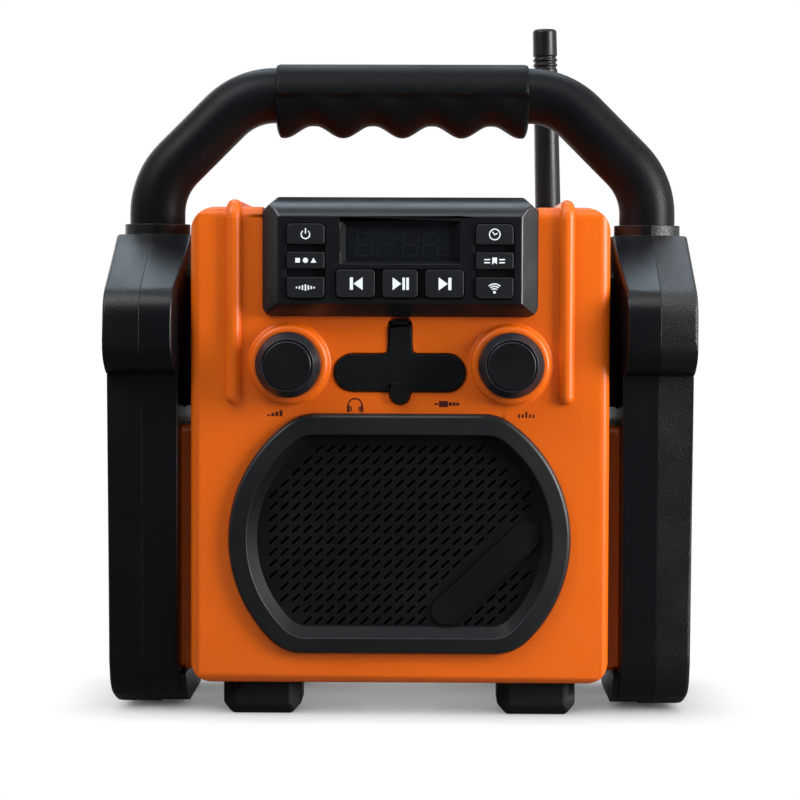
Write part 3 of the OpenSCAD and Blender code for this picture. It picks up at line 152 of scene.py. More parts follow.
class Graph:
    """Short names for making and linking shader nodes."""

    def __init__(self, tree):
        self.tree = tree

    def put(self, socket, value):
        """Links a socket, or sets it. A colour is given as red, green and blue."""
        if isinstance(value, bpy.types.NodeSocket):
            self.tree.links.new(value, socket)
        elif value is not None:
            socket.default_value = (*value, 1) if socket.type == "RGBA" else value

    def node(self, kind, *inputs, **settings):
        """A new node. Its inputs are given in their order or by name, beside its own settings."""
        made = self.tree.nodes.new(kind)
        for key, value in settings.items():
            if key in made.inputs:
                self.put(made.inputs[key], value)
            else:
                setattr(made, key, value)
        for socket, value in zip(made.inputs, inputs):
            self.put(socket, value)
        return made

    def math(self, op, a, b=None):
        return self.node("ShaderNodeMath", a, b, operation=op).outputs[0]

    def span(self, value, low, high, to_low=0.0, to_high=1.0):
        """Turns one range of a value into another, softly at both ends."""
        return self.node("ShaderNodeMapRange", value, low, high, to_low, to_high,
                         interpolation_type="SMOOTHSTEP").outputs[0]

    def mix(self, factor, a, b, blend="MIX"):
        """A colour between two."""
        made = self.node("ShaderNodeMix", factor, data_type="RGBA", blend_type=blend)
        self.put(made.inputs[6], a)
        self.put(made.inputs[7], b)
        return made.outputs[2]


def world():
    """White to the camera and through glass. To reflections it is white behind and above the
    object and darker on the camera's side, as a studio is; it lights evenly and weakly."""
    made = bpy.data.worlds.new("studio")
    bpy.context.scene.world = made
    made.use_nodes = True
    made.node_tree.nodes.clear()
    g = Graph(made.node_tree)
    ray = g.node("ShaderNodeLightPath").outputs
    way = g.node("ShaderNodeTexCoord").outputs["Generated"]
    rearward = g.node("ShaderNodeSeparateXYZ", way).outputs[1]    # -1 to the front, 1 to the back
    gloss = g.math("SUBTRACT", g.span(rearward, -0.6, 0.1, GLOSS_FRONT, GLOSS_ABOVE),
                   g.span(rearward, 0.5, 1.0, 0.0, GLOSS_ABOVE - GLOSS_BEHIND))
    plain = g.math("MAXIMUM", ray["Is Camera Ray"], ray["Is Transmission Ray"])
    strength = g.math("ADD", g.math("MULTIPLY", gloss, ray["Is Glossy Ray"]), plain)
    seen = g.math("MAXIMUM", plain, ray["Is Glossy Ray"])
    ambient = g.node("ShaderNodeBackground", (0.94, 0.97, 1.0), AMBIENT)
    white = g.node("ShaderNodeBackground", (1, 1, 1), strength)
    both = g.node("ShaderNodeMixShader", seen, ambient.outputs[0], white.outputs[0])
    g.node("ShaderNodeOutputWorld", both.outputs[0])


def floor_material():
    """A pale cloth that keeps the object's shadow, with a painted contact shadow near the object, and
    turns to plain white further out.
    """
    mat = bpy.data.materials.new("floor")
    mat.use_nodes = True
    mat.node_tree.nodes.clear()
    g = Graph(mat.node_tree)
    ray = g.node("ShaderNodeLightPath").outputs
    glossy = ray["Is Glossy Ray"]
    seen = g.math("MAXIMUM", g.math("MAXIMUM", ray["Is Camera Ray"], glossy), ray["Is Transmission Ray"])
    place = g.node("ShaderNodeTexCoord").outputs["Object"]
    near = g.node("ShaderNodeVectorMath", place, (0, -CLOTH_BACK, 0), operation="ADD").outputs[0]
    near = g.node("ShaderNodeVectorMath", near, CLOTH_SCALE, operation="MULTIPLY").outputs[0]
    near = g.node("ShaderNodeSeparateXYZ", near).outputs
    # The distance from the cloth's middle is 1 on its edge, a rectangle with round corners.
    across, along = (g.math("POWER", g.math("ABSOLUTE", side), 4.0) for side in near[:2])
    distance = g.math("POWER", g.math("ADD", across, along), 0.25)
    far = g.math("MULTIPLY", g.math("MINIMUM", distance, 1.0), seen)
    cloth = g.node("ShaderNodeBsdfDiffuse", g.mix(seen, FLOOR_LIT, FLOOR_SEEN))
    depth = g.node("ShaderNodeSeparateXYZ", place).outputs[1]
    mirrored = g.span(depth, -0.2, 0.5, GLOSS_FRONT, GLOSS_FLOOR)
    level = g.math("ADD", g.math("MULTIPLY", glossy, mirrored), g.math("SUBTRACT", 1.0, glossy))
    # Painted contact shadow: the glow darkens where an occlusion test finds the object near.
    sky = g.node("ShaderNodeAmbientOcclusion", samples=12, Distance=CONTACT_REACH)
    painted_contact_shadow = g.math("POWER", sky.outputs["AO"], CONTACT_POWER)
    glow = g.node("ShaderNodeEmission", (1, 1, 1), g.math("MULTIPLY", level, painted_contact_shadow))
    both = g.node("ShaderNodeMixShader", far, cloth.outputs[0], glow.outputs[0])
    g.node("ShaderNodeOutputMaterial", both.outputs[0])
    return mat


def floor():
    mesh = bpy.data.meshes.new("floor")
    square = ((-1, -1), (1, -1), (1, 1), (-1, 1))
    mesh.from_pydata([(x * FLOOR_HALF, y * FLOOR_HALF, 0) for x, y in square], [], [(0, 1, 2, 3)])
    mesh.materials.append(floor_material())
    obj = bpy.data.objects.new("floor", mesh)
    bpy.context.scene.collection.objects.link(obj)


def studio():
    bpy.context.scene.view_settings.view_transform = "Standard"
    world()
    for settings in LAMPS:
        lamp(*settings)
    floor()


# ------------------------------------------------------------------ kinds of material

class Shade(Graph):
    """One material, whose colour, roughness and bump are strung together from textures."""

    def __init__(self, name, color, rough, specular=0.5, metallic=0.0):
        self.mat = bpy.data.materials.new(name)
        self.mat.use_nodes = True
        super().__init__(self.mat.node_tree)
        self.shader = self.tree.nodes["Principled BSDF"].inputs
        self.put(self.shader["Base Color"], color)
        self.put(self.shader["Roughness"], rough)
        self.put(self.shader["Specular IOR Level"], specular)
        self.put(self.shader["Metallic"], metallic)
        self.coords = self.node("ShaderNodeTexCoord").outputs["Object"]
        self.height = None

    def noise(self, scale, detail=3.0, rough=0.55):
        return self.node("ShaderNodeTexNoise", Vector=self.coords, Scale=scale, Detail=detail,
                         Roughness=rough).outputs["Fac"]

    def cells(self, scale):
        """The distance to the nearest of many warped cells' middles."""
        bend = self.node("ShaderNodeTexNoise", Vector=self.coords, Scale=scale * 0.7)
        warped = self.mix(0.35 / scale, self.coords, bend.outputs["Color"], "LINEAR_LIGHT")
        return self.node("ShaderNodeTexVoronoi", Vector=warped, Scale=scale).outputs["Distance"]

    def bands(self, direction, scale):
        return self.node("ShaderNodeTexWave", Vector=self.coords, Scale=scale, wave_type="BANDS",
                         bands_direction=direction).outputs["Fac"]

    def edges(self, radius):
        """1 on outer edges, 0 on flat ground."""
        bevel = self.node("ShaderNodeBevel", samples=4, Radius=radius * MM)
        ground = self.node("ShaderNodeNewGeometry")
        dot = self.node("ShaderNodeVectorMath", bevel.outputs["Normal"], ground.outputs["Normal"],
                        operation="DOT_PRODUCT")
        return self.span(dot.outputs["Value"], 0.99, 0.86)

    def add_height(self, value, amount):
        """Adds to the bump, in millimetres of depth."""
        depth = self.math("MULTIPLY", value, amount * MM)
        self.height = depth if self.height is None else self.math("ADD", self.height, depth)

    def color(self, socket):
        self.put(self.shader["Base Color"], socket)

    def roughness(self, socket):
        self.put(self.shader["Roughness"], socket)

    def done(self):
        bump = self.node("ShaderNodeBump", Distance=1.0, Height=self.height)
        self.put(self.shader["Normal"], bump.outputs["Normal"])
        return self.mat


def scaled(color, k):
    return tuple(min(1.0, c * k) for c in color)


def plastic(name, color, rough, specular, grain, depth, drift, wear=None):
    """Moulded plastic: broad colour drift, speckle, spark-eroded grain and a little wear."""
    s = Shade(name, color, rough, specular)
    broad = s.noise(9, 2)
    speck = s.noise(900, 2)
    tone = s.math("ADD", s.math("MULTIPLY", broad, 0.75), s.math("MULTIPLY", speck, 0.25))
    look = s.mix(s.span(tone, 0.32, 0.68), scaled(color, 1 - drift), scaled(color, 1 + drift))
    if wear:
        radius, strength, bare = wear
        mask = s.math("MULTIPLY", s.edges(radius), s.span(s.noise(160, 4, 0.65), 0.38, 0.62))
        look = s.mix(s.math("MULTIPLY", mask, strength), look, bare)
    s.color(look)
    rub = s.span(s.noise(28, 4, 0.6), 0.45, 0.75)
    spread = s.math("ADD", s.math("MULTIPLY", rub, 0.09), s.math("MULTIPLY", speck, 0.06))
    s.roughness(s.math("ADD", spread, rough - 0.07))
    s.add_height(s.noise(grain, 3, 0.6), depth)
    s.add_height(s.noise(grain * 0.22, 2), depth * 0.8)
    return s.done()


def leather(name, color, rough, specular, grain, depth):
    """Plastic or rubber with a pebbled leather grain."""
    s = Shade(name, color, rough, specular)
    pebble = s.cells(grain)
    tone = s.span(s.noise(11, 2), 0.3, 0.7)
    look = s.mix(tone, scaled(color, 0.86), scaled(color, 1.14))
    s.color(s.mix(s.span(pebble, 0.35, 0.75, 0.0, 0.35), look, scaled(color, 0.55)))
    rub = s.span(s.noise(30, 4, 0.6), 0.4, 0.75, -0.05, 0.07)
    s.roughness(s.math("ADD", rub, rough))
    s.add_height(s.math("SUBTRACT", 0.8, pebble), depth)
    s.add_height(s.noise(grain * 2.5, 2), depth * 0.4)
    return s.done()


def metal(name, color, rough):
    s = Shade(name, color, rough, metallic=1.0)
    tone = s.span(s.noise(420, 3, 0.6), 0.3, 0.7)
    s.color(s.mix(tone, scaled(color, 0.88), scaled(color, 1.05)))
    s.roughness(s.span(s.noise(260, 4, 0.65), 0.3, 0.7, rough - 0.08, rough + 0.12))
    s.add_height(s.noise(2600, 2), 0.004)
    return s.done()


def glass(name):
    """The display's window, clear but for a slight dark tint."""
    s = Shade(name, (0.012, 0.015, 0.018), 0.06, 0.35)
    s.put(s.shader["Alpha"], 0.25)
    s.color(s.mix(s.span(s.noise(14, 2), 0.3, 0.7), (0.010, 0.0125, 0.015), (0.014, 0.0175, 0.021)))
    s.roughness(s.span(s.noise(60, 4, 0.6), 0.35, 0.75, 0.03, 0.12))
    return s.mat


def board(name):
    """A lacquered circuit board, whose tracks stand out a little."""
    s = Shade(name, (0.015, 0.10, 0.05), 0.35)
    tracks = s.span(s.cells(260), 0.35, 0.40)
    s.color(s.mix(tracks, (0.01, 0.085, 0.04), (0.03, 0.16, 0.085)))
    s.add_height(tracks, 0.03)
    return s.done()


def woven(name, color, pitch):
    s = Shade(name, color, 0.9, 0.1)
    weave = s.math("MULTIPLY", s.bands("X", pitch), s.bands("Z", pitch))
    s.color(s.mix(weave, scaled(color, 0.5), scaled(color, 1.6)))
    s.add_height(weave, 0.15)
    return s.done()


def cell_sleeve(name):
    """A dry cell: steel ends, a dark printed sleeve and a pale band near its positive end."""
    row_end, pitch = 0.0513, 0.0512     # metres along X: where the row starts, and one cell
    foot, band_start, band_stop, cap = 0.05, 0.72, 0.9, 0.955    # shares of a cell's length
    s = Shade(name, (0.02, 0.03, 0.06), 0.32)
    place = s.node("ShaderNodeSeparateXYZ", s.coords).outputs[0]
    along = s.math("FRACT", s.math("MULTIPLY", s.math("ADD", place, row_end), 1 / pitch))
    band = s.math("MULTIPLY", s.math("GREATER_THAN", along, band_start),
                  s.math("LESS_THAN", along, band_stop))
    ends = s.math("ADD", s.math("LESS_THAN", along, foot), s.math("GREATER_THAN", along, cap))
    sleeve = s.mix(s.span(s.noise(300), 0.3, 0.7), (0.012, 0.018, 0.04), (0.02, 0.028, 0.055))
    s.color(s.mix(ends, s.mix(band, sleeve, (0.42, 0.36, 0.24)), (0.5, 0.5, 0.51)))
    s.put(s.shader["Metallic"], ends)
    s.roughness(s.span(s.noise(200), 0.3, 0.7, 0.24, 0.4))
    s.add_height(s.noise(900, 2), 0.01)
    return s.done()


# ------------------------------------------------------------------ materials

ORANGE = (0.70, 0.116, 0.0030)
BLACK = (0.0032, 0.0040, 0.0051)
RUBBER = (0.0034, 0.0040, 0.0048)

# Wear on edges: its radius, its strength and the colour that it bares
ORANGE_WEAR = (0.5, 0.35, (0.80, 0.24, 0.07))
BLACK_WEAR = (0.5, 0.5, (0.022, 0.026, 0.03))
GUARD_WEAR = (0.6, 0.5, (0.022, 0.026, 0.03))

PLASTICS = {        # colour, roughness, specular level, grain per metre and its depth, drift, wear
    "orange_plastic": (ORANGE, 0.38, 0.35, 1900, 0.006, 0.05, ORANGE_WEAR),
    "black_plastic": ((0.0052, 0.0066, 0.0082), 0.33, 0.42, 1700, 0.002, 0.10, BLACK_WEAR),
    # Painted shade: the display window's sides, darker and duller than the housing's black.
    "reveal": ((0.003, 0.0036, 0.0044), 0.6, 0.08, 1800, 0.002, 0.1),
    "frame_black": (BLACK, 0.40, 0.36, 1300, 0.016, 0.10, BLACK_WEAR),
    # The speaker's frame in two copies of its black: its front is lighter, painted sheen over a real
    # grain, and the slope into the grille darker and duller, painted shade of the recess.
    "frame_grain": ((0.0060, 0.0074, 0.0092), 0.46, 0.5, 1300, 0.03, 0.12),
    "frame_mouth": ((0.0040, 0.0050, 0.0062), 0.5, 0.22, 1300, 0.012, 0.12),
    "guard_satin": (BLACK, 0.36, 0.30, 1500, 0.008, 0.10, GUARD_WEAR),
    "knob_black": ((0.0034, 0.0040, 0.0050), 0.36, 0.55, 2200, 0.004, 0.10),
    # Painted sheen: a lighter blue grey for the slope round the knobs' fronts.
    "knob_ring": ((0.012, 0.0145, 0.0185), 0.34, 0.5, 2200, 0.003, 0.1),
    "cover_rubber": (RUBBER, 0.55, 0.22, 1700, 0.012, 0.12),
    "antenna_rubber": (RUBBER, 0.38, 0.34, 1500, 0.010, 0.10),
    "foot_rubber": ((0.0062, 0.007, 0.008), 0.58, 0.24, 1300, 0.02, 0.16),
    # Painted shadow: the seal in the case's seam is dark orange, as the shaded gap between the shells.
    "seam_seal": ((0.13, 0.020, 0.002), 0.6, 0.15, 1500, 0.02, 0.1),
    "part_black": ((0.008, 0.009, 0.010), 0.4, 0.3, 1800, 0.01, 0.1),
    "lcd": ((0.0042, 0.0055, 0.0065), 0.3, 0.2, 2500, 0.001, 0.04),
    "lcd_segment": ((0.0125, 0.0155, 0.0175), 0.4, 0.2, 2500, 0.001, 0.1),
    "cone": ((0.012, 0.012, 0.013), 0.85, 0.1, 900, 0.05, 0.2),
    "ink": ((0.78, 0.84, 0.88), 0.5, 0.3, 2500, 0.003, 0.05),
    "maroon_ink": ((0.062, 0.008, 0.006), 0.5, 0.3, 2500, 0.003, 0.1),
}
LEATHERS = {        # colour, roughness, specular level, grain per metre and its depth
    # Painted light: the guards' outer halves are one material in two copies. The right one is lighter,
    # glossier and deeper grained, as if lit by the lamp on the right; the left one is the darker, shaded
    # copy.
    "guard_grain": ((0.0042, 0.0049, 0.006), 0.42, 0.5, 1800, 0.12),
    "guard_left": (BLACK, 0.38, 0.34, 1800, 0.045),
    "handle_black": (BLACK, 0.42, 0.13, 1700, 0.05),
    "grip_rubber": ((0.0031, 0.0039, 0.0049), 0.46, 0.1, 1500, 0.07),
    "key_rubber": ((0.0082, 0.0098, 0.0118), 0.5, 0.3, 3200, 0.02),
}
METALS = {          # colour, roughness
    "steel": ((0.56, 0.57, 0.58), 0.32),
    "black_steel": ((0.02, 0.021, 0.022), 0.4),
    "magnet": ((0.20, 0.205, 0.21), 0.48),
}
# CAD nodes that are shown in another material than that of their slot
# The case's seal is shown dark orange, painted shadow of the seam.
DRESSED = {"cover_pin": "black_steel", "speaker_grille": "frame_black", "shell_seal": "seam_seal"}


def materials():
    made = {}
    for kind, looks in ((plastic, PLASTICS), (leather, LEATHERS), (metal, METALS)):
        for name, look in looks.items():
            made[name] = kind(name, *look)
    made["lens"] = glass("lens")
    made["board"] = board("board")
    made["cloth"] = woven("cloth", (0.003, 0.003, 0.0034), 1400)
    made["cell"] = cell_sleeve("cell")
    return made


def dress_nodes():
    for name, obj in NODES.items():
        obj.data.materials.clear()
        obj.data.materials.append(MAT[DRESSED.get(name, SLOT_OF[name])])


# ------------------------------------------------------------------ making pieces

def add_piece(name, bm, material, node=None, body=None):
    """Makes an object of a bmesh in metres. It stands for a CAD node, or rides on a body."""
    mesh = bpy.data.meshes.new(name)
    bm.to_mesh(mesh)
    bm.free()
    obj = bpy.data.objects.new(name, mesh)
    bpy.context.scene.collection.objects.link(obj)
    mesh.materials.append(MAT[material])
    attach(obj, body or BODY_OF[node])
    if node:
        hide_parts(node)
    return obj


def add_material(obj, material, test):
    """Gives a material to the faces that pass a test of their middle and normal."""
    obj.data.materials.append(MAT[material])
    index = len(obj.data.materials) - 1
    for face in obj.data.polygons:
        if test(face.center / MM, face.normal):
            face.material_index = index


def finish_normals(obj, sharp):
    """Smooth shading up to an angle in degrees, with flat faces that stay flat."""
    mesh = obj.data
    mesh.polygons.foreach_set("use_smooth", [True] * len(mesh.polygons))
    mesh.set_sharp_from_angle(angle=math.radians(sharp))
    weighted = obj.modifiers.new("weighted", "WEIGHTED_NORMAL")
    weighted.keep_sharp = True


def closed_sweep(rings):
    """A bmesh of rings of points, each joined to the next one and the last to the first."""
    bm = bmesh.new()
    rows = [[bm.verts.new(Vector(p) * MM) for p in ring] for ring in rings]
    for row, after in zip(rows, rows[1:] + rows[:1]):
        for i in range(len(row)):
            j = (i + 1) % len(row)
            bm.faces.new((row[i], row[j], after[j], after[i]))
    bmesh.ops.recalc_face_normals(bm, faces=bm.faces)
    return bm


# ------------------------------------------------------------------ mouldings with rounded edges

WELD = 0.002            # points closer than this are one
FLAT = 0.35             # degrees up to which faces count as one plane
CORNER = 30             # degrees from which an edge is rounded
FOLD = 115              # degrees from which a surface all but turns back on itself
ARC_SEGMENTS = 3        # faces across a rounded edge
END_LENGTH = 5          # where long edges are split, so that their ends can differ
LONG = 15               # the length from which they are, where they are bent
BENT = 25               # by more than this many degrees
REPAIRS = 5             # tries to clear folds
EASE = 0.4              # what an edge near a fold keeps of its rounding in the next try
SIGHT = 700             # how far an edge has to see to count as outer
LIFT = 0.25             # where its sight lines start over the surface
GRAZE = 0.05            # cosine to the surface's normal from which a sight line counts
STRAY = 0.02            # how far a flat face may leave the surface
STRAY_SHARE = 0.35      # and a rounded corner, as a share of the rounding's width
KNOWN = 0.4             # a fold this near to one of the CAD node's own is no fault


def scene_tree():
    """All CAD nodes at rest in one tree, to tell which edges can be seen."""
    points, faces = [], []
    for obj in NODES.values():
        base = len(points)
        points += [v.co.copy() for v in obj.data.vertices]
        faces += [[base + i for i in p.vertices] for p in obj.data.polygons]
    return BVHTree.FromPolygons(points, faces)


TREE = scene_tree()
RAYS = [Vector((x, y, z)).normalized() for x in (-1, 0, 1) for y in (-1, 0, 1) for z in (-1, 0, 1)
        if x or y or z]


def exposed(point, normal):
    """Whether some straight way leads out of the object from a point on its surface."""
    start = point + normal * LIFT * MM
    return any(ray.dot(normal) > GRAZE and TREE.ray_cast(start, ray, SIGHT * MM)[0] is None
               for ray in RAYS)


def middle_of(edge):
    return (edge.verts[0].co + edge.verts[1].co) / 2


def point_tree(points):
    tree = KDTree(len(points))
    for i, p in enumerate(points):
        tree.insert(p, i)
    tree.balance()
    return tree


def bare_form(name):
    """A CAD node as a welded bmesh, its flat faces joined and its long edges split near their ends."""
    bm = bmesh.new()
    bm.from_mesh(NODES[name].data)
    bmesh.ops.remove_doubles(bm, verts=bm.verts, dist=WELD * MM)
    bmesh.ops.dissolve_limit(bm, angle_limit=math.radians(FLAT), verts=bm.verts, edges=bm.edges)
    for edge in list(bm.edges):
        length = edge.calc_length()
        if length > LONG * MM and edge.calc_face_angle(0) > math.radians(BENT):
            start, end = edge.verts
            _, first = bmesh.utils.edge_split(edge, start, END_LENGTH * MM / length)
            rest = next(e for e in first.link_edges if e.other_vert(first) is end)
            bmesh.utils.edge_split(rest, end, END_LENGTH * MM / rest.calc_length())
    return bm


def weigh_edges(bm, rules):
    """Gives each corner that can be seen its share of the rounding."""
    weight = bm.edges.layers.float.new("bevel_weight_edge")
    for edge in bm.edges:
        if not edge.is_manifold or edge.calc_face_angle(0) < math.radians(CORNER):
            continue
        middle = middle_of(edge)
        normal = (edge.link_faces[0].normal + edge.link_faces[1].normal).normalized()
        if exposed(middle, normal):
            place = middle / MM
            edge[weight] = next((share for test, share in rules if test(place)), 1.0)
    return weight


def rounded(bm, width):
    """A new mesh of the bmesh, with its weighted edges rounded."""
    draft = bpy.data.meshes.new("draft")
    bm.to_mesh(draft)
    shape = bpy.data.objects.new("draft", draft)
    bpy.context.scene.collection.objects.link(shape)
    bevel = shape.modifiers.new("bevel", "BEVEL")
    bevel.width = width * MM
    bevel.segments = ARC_SEGMENTS
    bevel.limit_method = "WEIGHT"
    bevel.use_clamp_overlap = False
    bevel.miter_outer = "MITER_ARC"
    graph = bpy.context.evaluated_depsgraph_get()
    mesh = bpy.data.meshes.new_from_object(shape.evaluated_get(graph))
    bpy.data.objects.remove(shape)
    return mesh


def turned(bm):
    """The middles of the edges where the surface all but turns back on itself."""
    return [middle_of(e) for e in bm.edges
            if e.is_manifold and e.calc_face_angle(0) > math.radians(FOLD)]


def folds(mesh, surface, known, width):
    """The places where the rounding left the surface or folded, apart from known ones."""
    bad = [v.co.copy() for v in mesh.vertices
           if surface.find_nearest(v.co)[3] > (STRAY_SHARE * width + STRAY) * MM]
    bm = bmesh.new()
    bm.from_mesh(mesh)
    bad += [p for p in turned(bm) if not known.find_range(p, KNOWN * MM)]
    bm.free()
    return bad


def ease_edges(bm, weight, bad, width):
    """Takes most of the rounding from the edges near bad places, tested at seven points of each."""
    tight = point_tree(bad)
    steps = 6
    for edge in bm.edges:
        if edge[weight] > 0.0:
            a, b = edge.verts[0].co, edge.verts[1].co
            reach = 1.6 * width * MM + (b - a).length / (2 * steps)
            if any(tight.find(a.lerp(b, i / steps))[2] < reach for i in range(steps + 1)):
                edge[weight] *= EASE


def soften(name, width, rules=(), material=None):
    """A moulding with rounded edges, made from the CAD node that it stands for.

    A rule is a test of an edge's middle and the share of the width that such an edge gets.
    """
    bm = bare_form(name)
    surface, known = BVHTree.FromBMesh(bm), point_tree(turned(bm))
    weight = weigh_edges(bm, rules)
    for _ in range(REPAIRS):
        mesh = rounded(bm, width)
        bad = folds(mesh, surface, known, width)
        if not bad:
            break
        ease_edges(bm, weight, bad, width)
    bm.clear()
    bm.from_mesh(mesh)
    obj = add_piece(name + "_form", bm, material or SLOT_OF[name], node=name)
    finish_normals(obj, 40)
    return obj


# ------------------------------------------------------------------ the radio's mouldings

GUARD_ROUND = 1.7
GUARD_TOP = COLLAR_TOP - 4.8        # the flat that the collar stands on
COLLAR_R = 15.5                     # just outside the collar
PANEL_X, PANEL_Y = 120, 47          # where a guard's sunk side panel lies
PANEL_LOW, PANEL_HIGH = 40, 147
CHIN_LOW, CHIN_HIGH = 144, 151      # the shoulder's underside
WELL_R = 7                          # just outside a bolt's well
WELL_X, WELL_Y = 112, 36            # the wells lie outside this X and at this Y
WELL_HEIGHTS = (31.4, 110.8, 171.6)

KEYHOLE_X = 49                      # where the housing's key openings and its window lie
KEYHOLE_LOW, KEYHOLE_HIGH = 181, 216.5
WINDOW_X = 25.7
WINDOW_LOW, WINDOW_HIGH = 195.1, 215.2

SMALL_FORMS = {                     # roundings
    "jack_cover": 0.4, "feet": 0.9, "battery_door": 0.45, "dc_cover": 0.3,
    "antenna_base": 0.5, "antenna_mast": 0.2, "door_screw": 0.25,
}


def guards():
    """The clamshell side guards, which keep tight edges where parts meet or sit in each other."""
    def parting(p):
        return abs(abs(p.x) - SPLIT_X) < 0.1

    def collar(p):
        return p.z > GUARD_TOP - 0.3 and math.hypot(abs(p.x) - SPLIT_X + 1, p.y) < COLLAR_R

    def chin(p):
        return CHIN_LOW < p.z < CHIN_HIGH

    def panel(p):
        return PANEL_LOW < p.z < PANEL_HIGH and abs(p.y) < PANEL_Y and abs(p.x) > PANEL_X

    def well(p):
        return abs(p.x) > WELL_X and any(math.hypot(abs(p.y) - WELL_Y, p.z - z) < WELL_R
                                         for z in WELL_HEIGHTS)

    tight = [(parting, 0.14), (collar, 0.2), (chin, 0.35)]
    # The right outer half gets the lit copy of the grain and the left the shaded one: painted light and
    # shade.
    for side, grain in (("left", "guard_left"), ("right", "guard_grain")):
        soften(side + "_guard_outer", GUARD_ROUND, tight + [(panel, 0.2), (well, 0.22)], grain)
        soften(side + "_guard_inner", GUARD_ROUND, tight + [(well, 0.22)], "guard_satin")


def shells():
    """The case's halves, which meet in a tight seam."""
    def seam(p):
        return SEAM_FRONT - 0.5 < p.y < SEAM_BACK + 0.5

    soften("front_shell", 0.5, [(seam, 0.2)])
    soften("rear_shell", 0.5, [(seam, 0.2)])


def display_housing():
    """The housing of the display and the keys. The sides of its window take a darker, duller black,
    painted shade of the recess.
    """
    def opening(p):
        return p.y > HOUSING_FACE - 0.2 and abs(p.x) < KEYHOLE_X and KEYHOLE_LOW < p.z < KEYHOLE_HIGH

    def reveal(p, normal):
        return p.y > HOUSING_FACE + 0.1 and abs(p.x) < WINDOW_X and WINDOW_LOW < p.z < WINDOW_HIGH

    add_material(soften("display_bezel", 0.8, [(opening, 0.35)]), "reveal", reveal)


def keys():
    for node in NODES:
        if node.startswith("key_") and node not in ("key_board", "key_switches"):
            soften(node, 0.45)


def knobs():
    """The knobs, with a lighter ring on the slope round the front, a painted sheen."""
    def ring(p, normal):
        return p.y < KNOB_FACE + 8 and -0.93 < normal.y < -0.3

    for node in ("volume_knob", "tuning_knob"):
        add_material(soften(node, 0.35), "knob_ring", ring)


def small_forms():
    for node, width in SMALL_FORMS.items():
        soften(node, width)


# ------------------------------------------------------------------ the speaker's frame

ARC_X, ARC_Z = 11.9, 77.15          # the middle of the right arc; the left one mirrors it
# Outlines: radius of the arcs, height of the level bottom and top, radius of the corners
FRAME_OUTER = (61.8, 27.6, 131.3, 20.0)
FRAME_LIP = (53.6, 34.9, 122.1, 13.0)
FRAME_MOUTH = (49.5, 39.2, 121.7, 11.0)
BROW = 0.7                          # how far the front falls back towards its outer edge
LIP_ROUND = 0.45


def between(a, b, t):
    return [p + (q - p) * t for p, q in zip(a, b)]


def speaker_ring(outline, y):
    """The points of an outline: two arcs, cut level at top and bottom, with rounded corners."""
    radius, low, high, corner = outline
    points = []
    for sign_x, quarters in ((1, (-1, 1)), (-1, (1, -1))):
        for sign_z in quarters:
            height = (high - ARC_Z) if sign_z > 0 else (ARC_Z - low)
            out = math.sqrt((radius - corner) ** 2 - (height - corner) ** 2)
            lean = math.atan2(height - corner, out)
            arc = [lean * i / 24 for i in range(25)]
            bend = [lean + (math.pi / 2 - lean) * i / 14 for i in range(1, 15)]
            quarter = [(ARC_X + radius * math.cos(a), radius * math.sin(a)) for a in arc]
            quarter += [(ARC_X + out + corner * math.cos(a), height - corner + corner * math.sin(a))
                        for a in bend]
            quarter = [(sign_x * x, ARC_Z + sign_z * z) for x, z in quarter]
            points += quarter if sign_x * sign_z > 0 else quarter[::-1]
    ring = [points[0]]
    for p in points[1:]:
        if math.dist(p, ring[-1]) > 1e-6:
            ring.append(p)
    return [(x, y, z) for x, z in ring]


def speaker_frame():
    """The frame round the grille, with a domed front and sloping sides to its mouth."""
    front, grille = FRAME_FACE, FACE_Y + 1.5
    seat, inside = FACE_Y + 0.02, FACE_Y + 4.5
    edge, lip = 0.24, 0.93          # shares of the way in: where the front starts and ends
    root = between(FRAME_OUTER, FRAME_LIP, 0.45)    # behind the front, inside the case
    rings = [(root, seat), (FRAME_OUTER, seat)]
    for i in range(1, 9):           # the rounded outer edge
        a = i / 8 * math.pi / 2
        rings.append((between(FRAME_OUTER, FRAME_LIP, edge * (1 - math.cos(a))),
                      front + BROW + (FACE_Y - front - BROW) * (1 - math.sin(a))))
    for i in range(1, 5):           # the front
        t = i / 4
        rings.append((between(FRAME_OUTER, FRAME_LIP, edge + (lip - edge) * t), front + BROW * (1 - t)))
    for i in range(1, 5):           # the rounded lip
        a = i / 4 * math.pi / 2
        rings.append((between(FRAME_OUTER, FRAME_LIP, lip + (1 - lip) * math.sin(a)),
                      front + LIP_ROUND * (1 - math.cos(a))))
    for i in range(1, 8):           # the slope to the grille
        t = i / 7
        rings.append((between(FRAME_LIP, FRAME_MOUTH, t),
                      front + LIP_ROUND + (grille - front - LIP_ROUND) * t))
    rings += [(FRAME_MOUTH, inside), (root, inside)]
    bm = closed_sweep([speaker_ring(outline, y) for outline, y in rings])
    # The front's lighter colour is painted sheen over its grain.
    obj = add_piece("speaker_frame_form", bm, "frame_grain", node="grille_frame")
    finish_normals(obj, 38)

    def mouth(p, normal):
        out = math.hypot(max(abs(p.x) - ARC_X, 0), p.z - ARC_Z)
        within = out < FRAME_LIP[0] + 0.1 and FRAME_LIP[1] + 0.1 < p.z < FRAME_LIP[2] - 0.1
        return within and p.y > front + 0.4

    # The slope into the grille takes the darker copy, painted shade of the recess.
    add_material(obj, "frame_mouth", mouth)


# ------------------------------------------------------------------ the grip

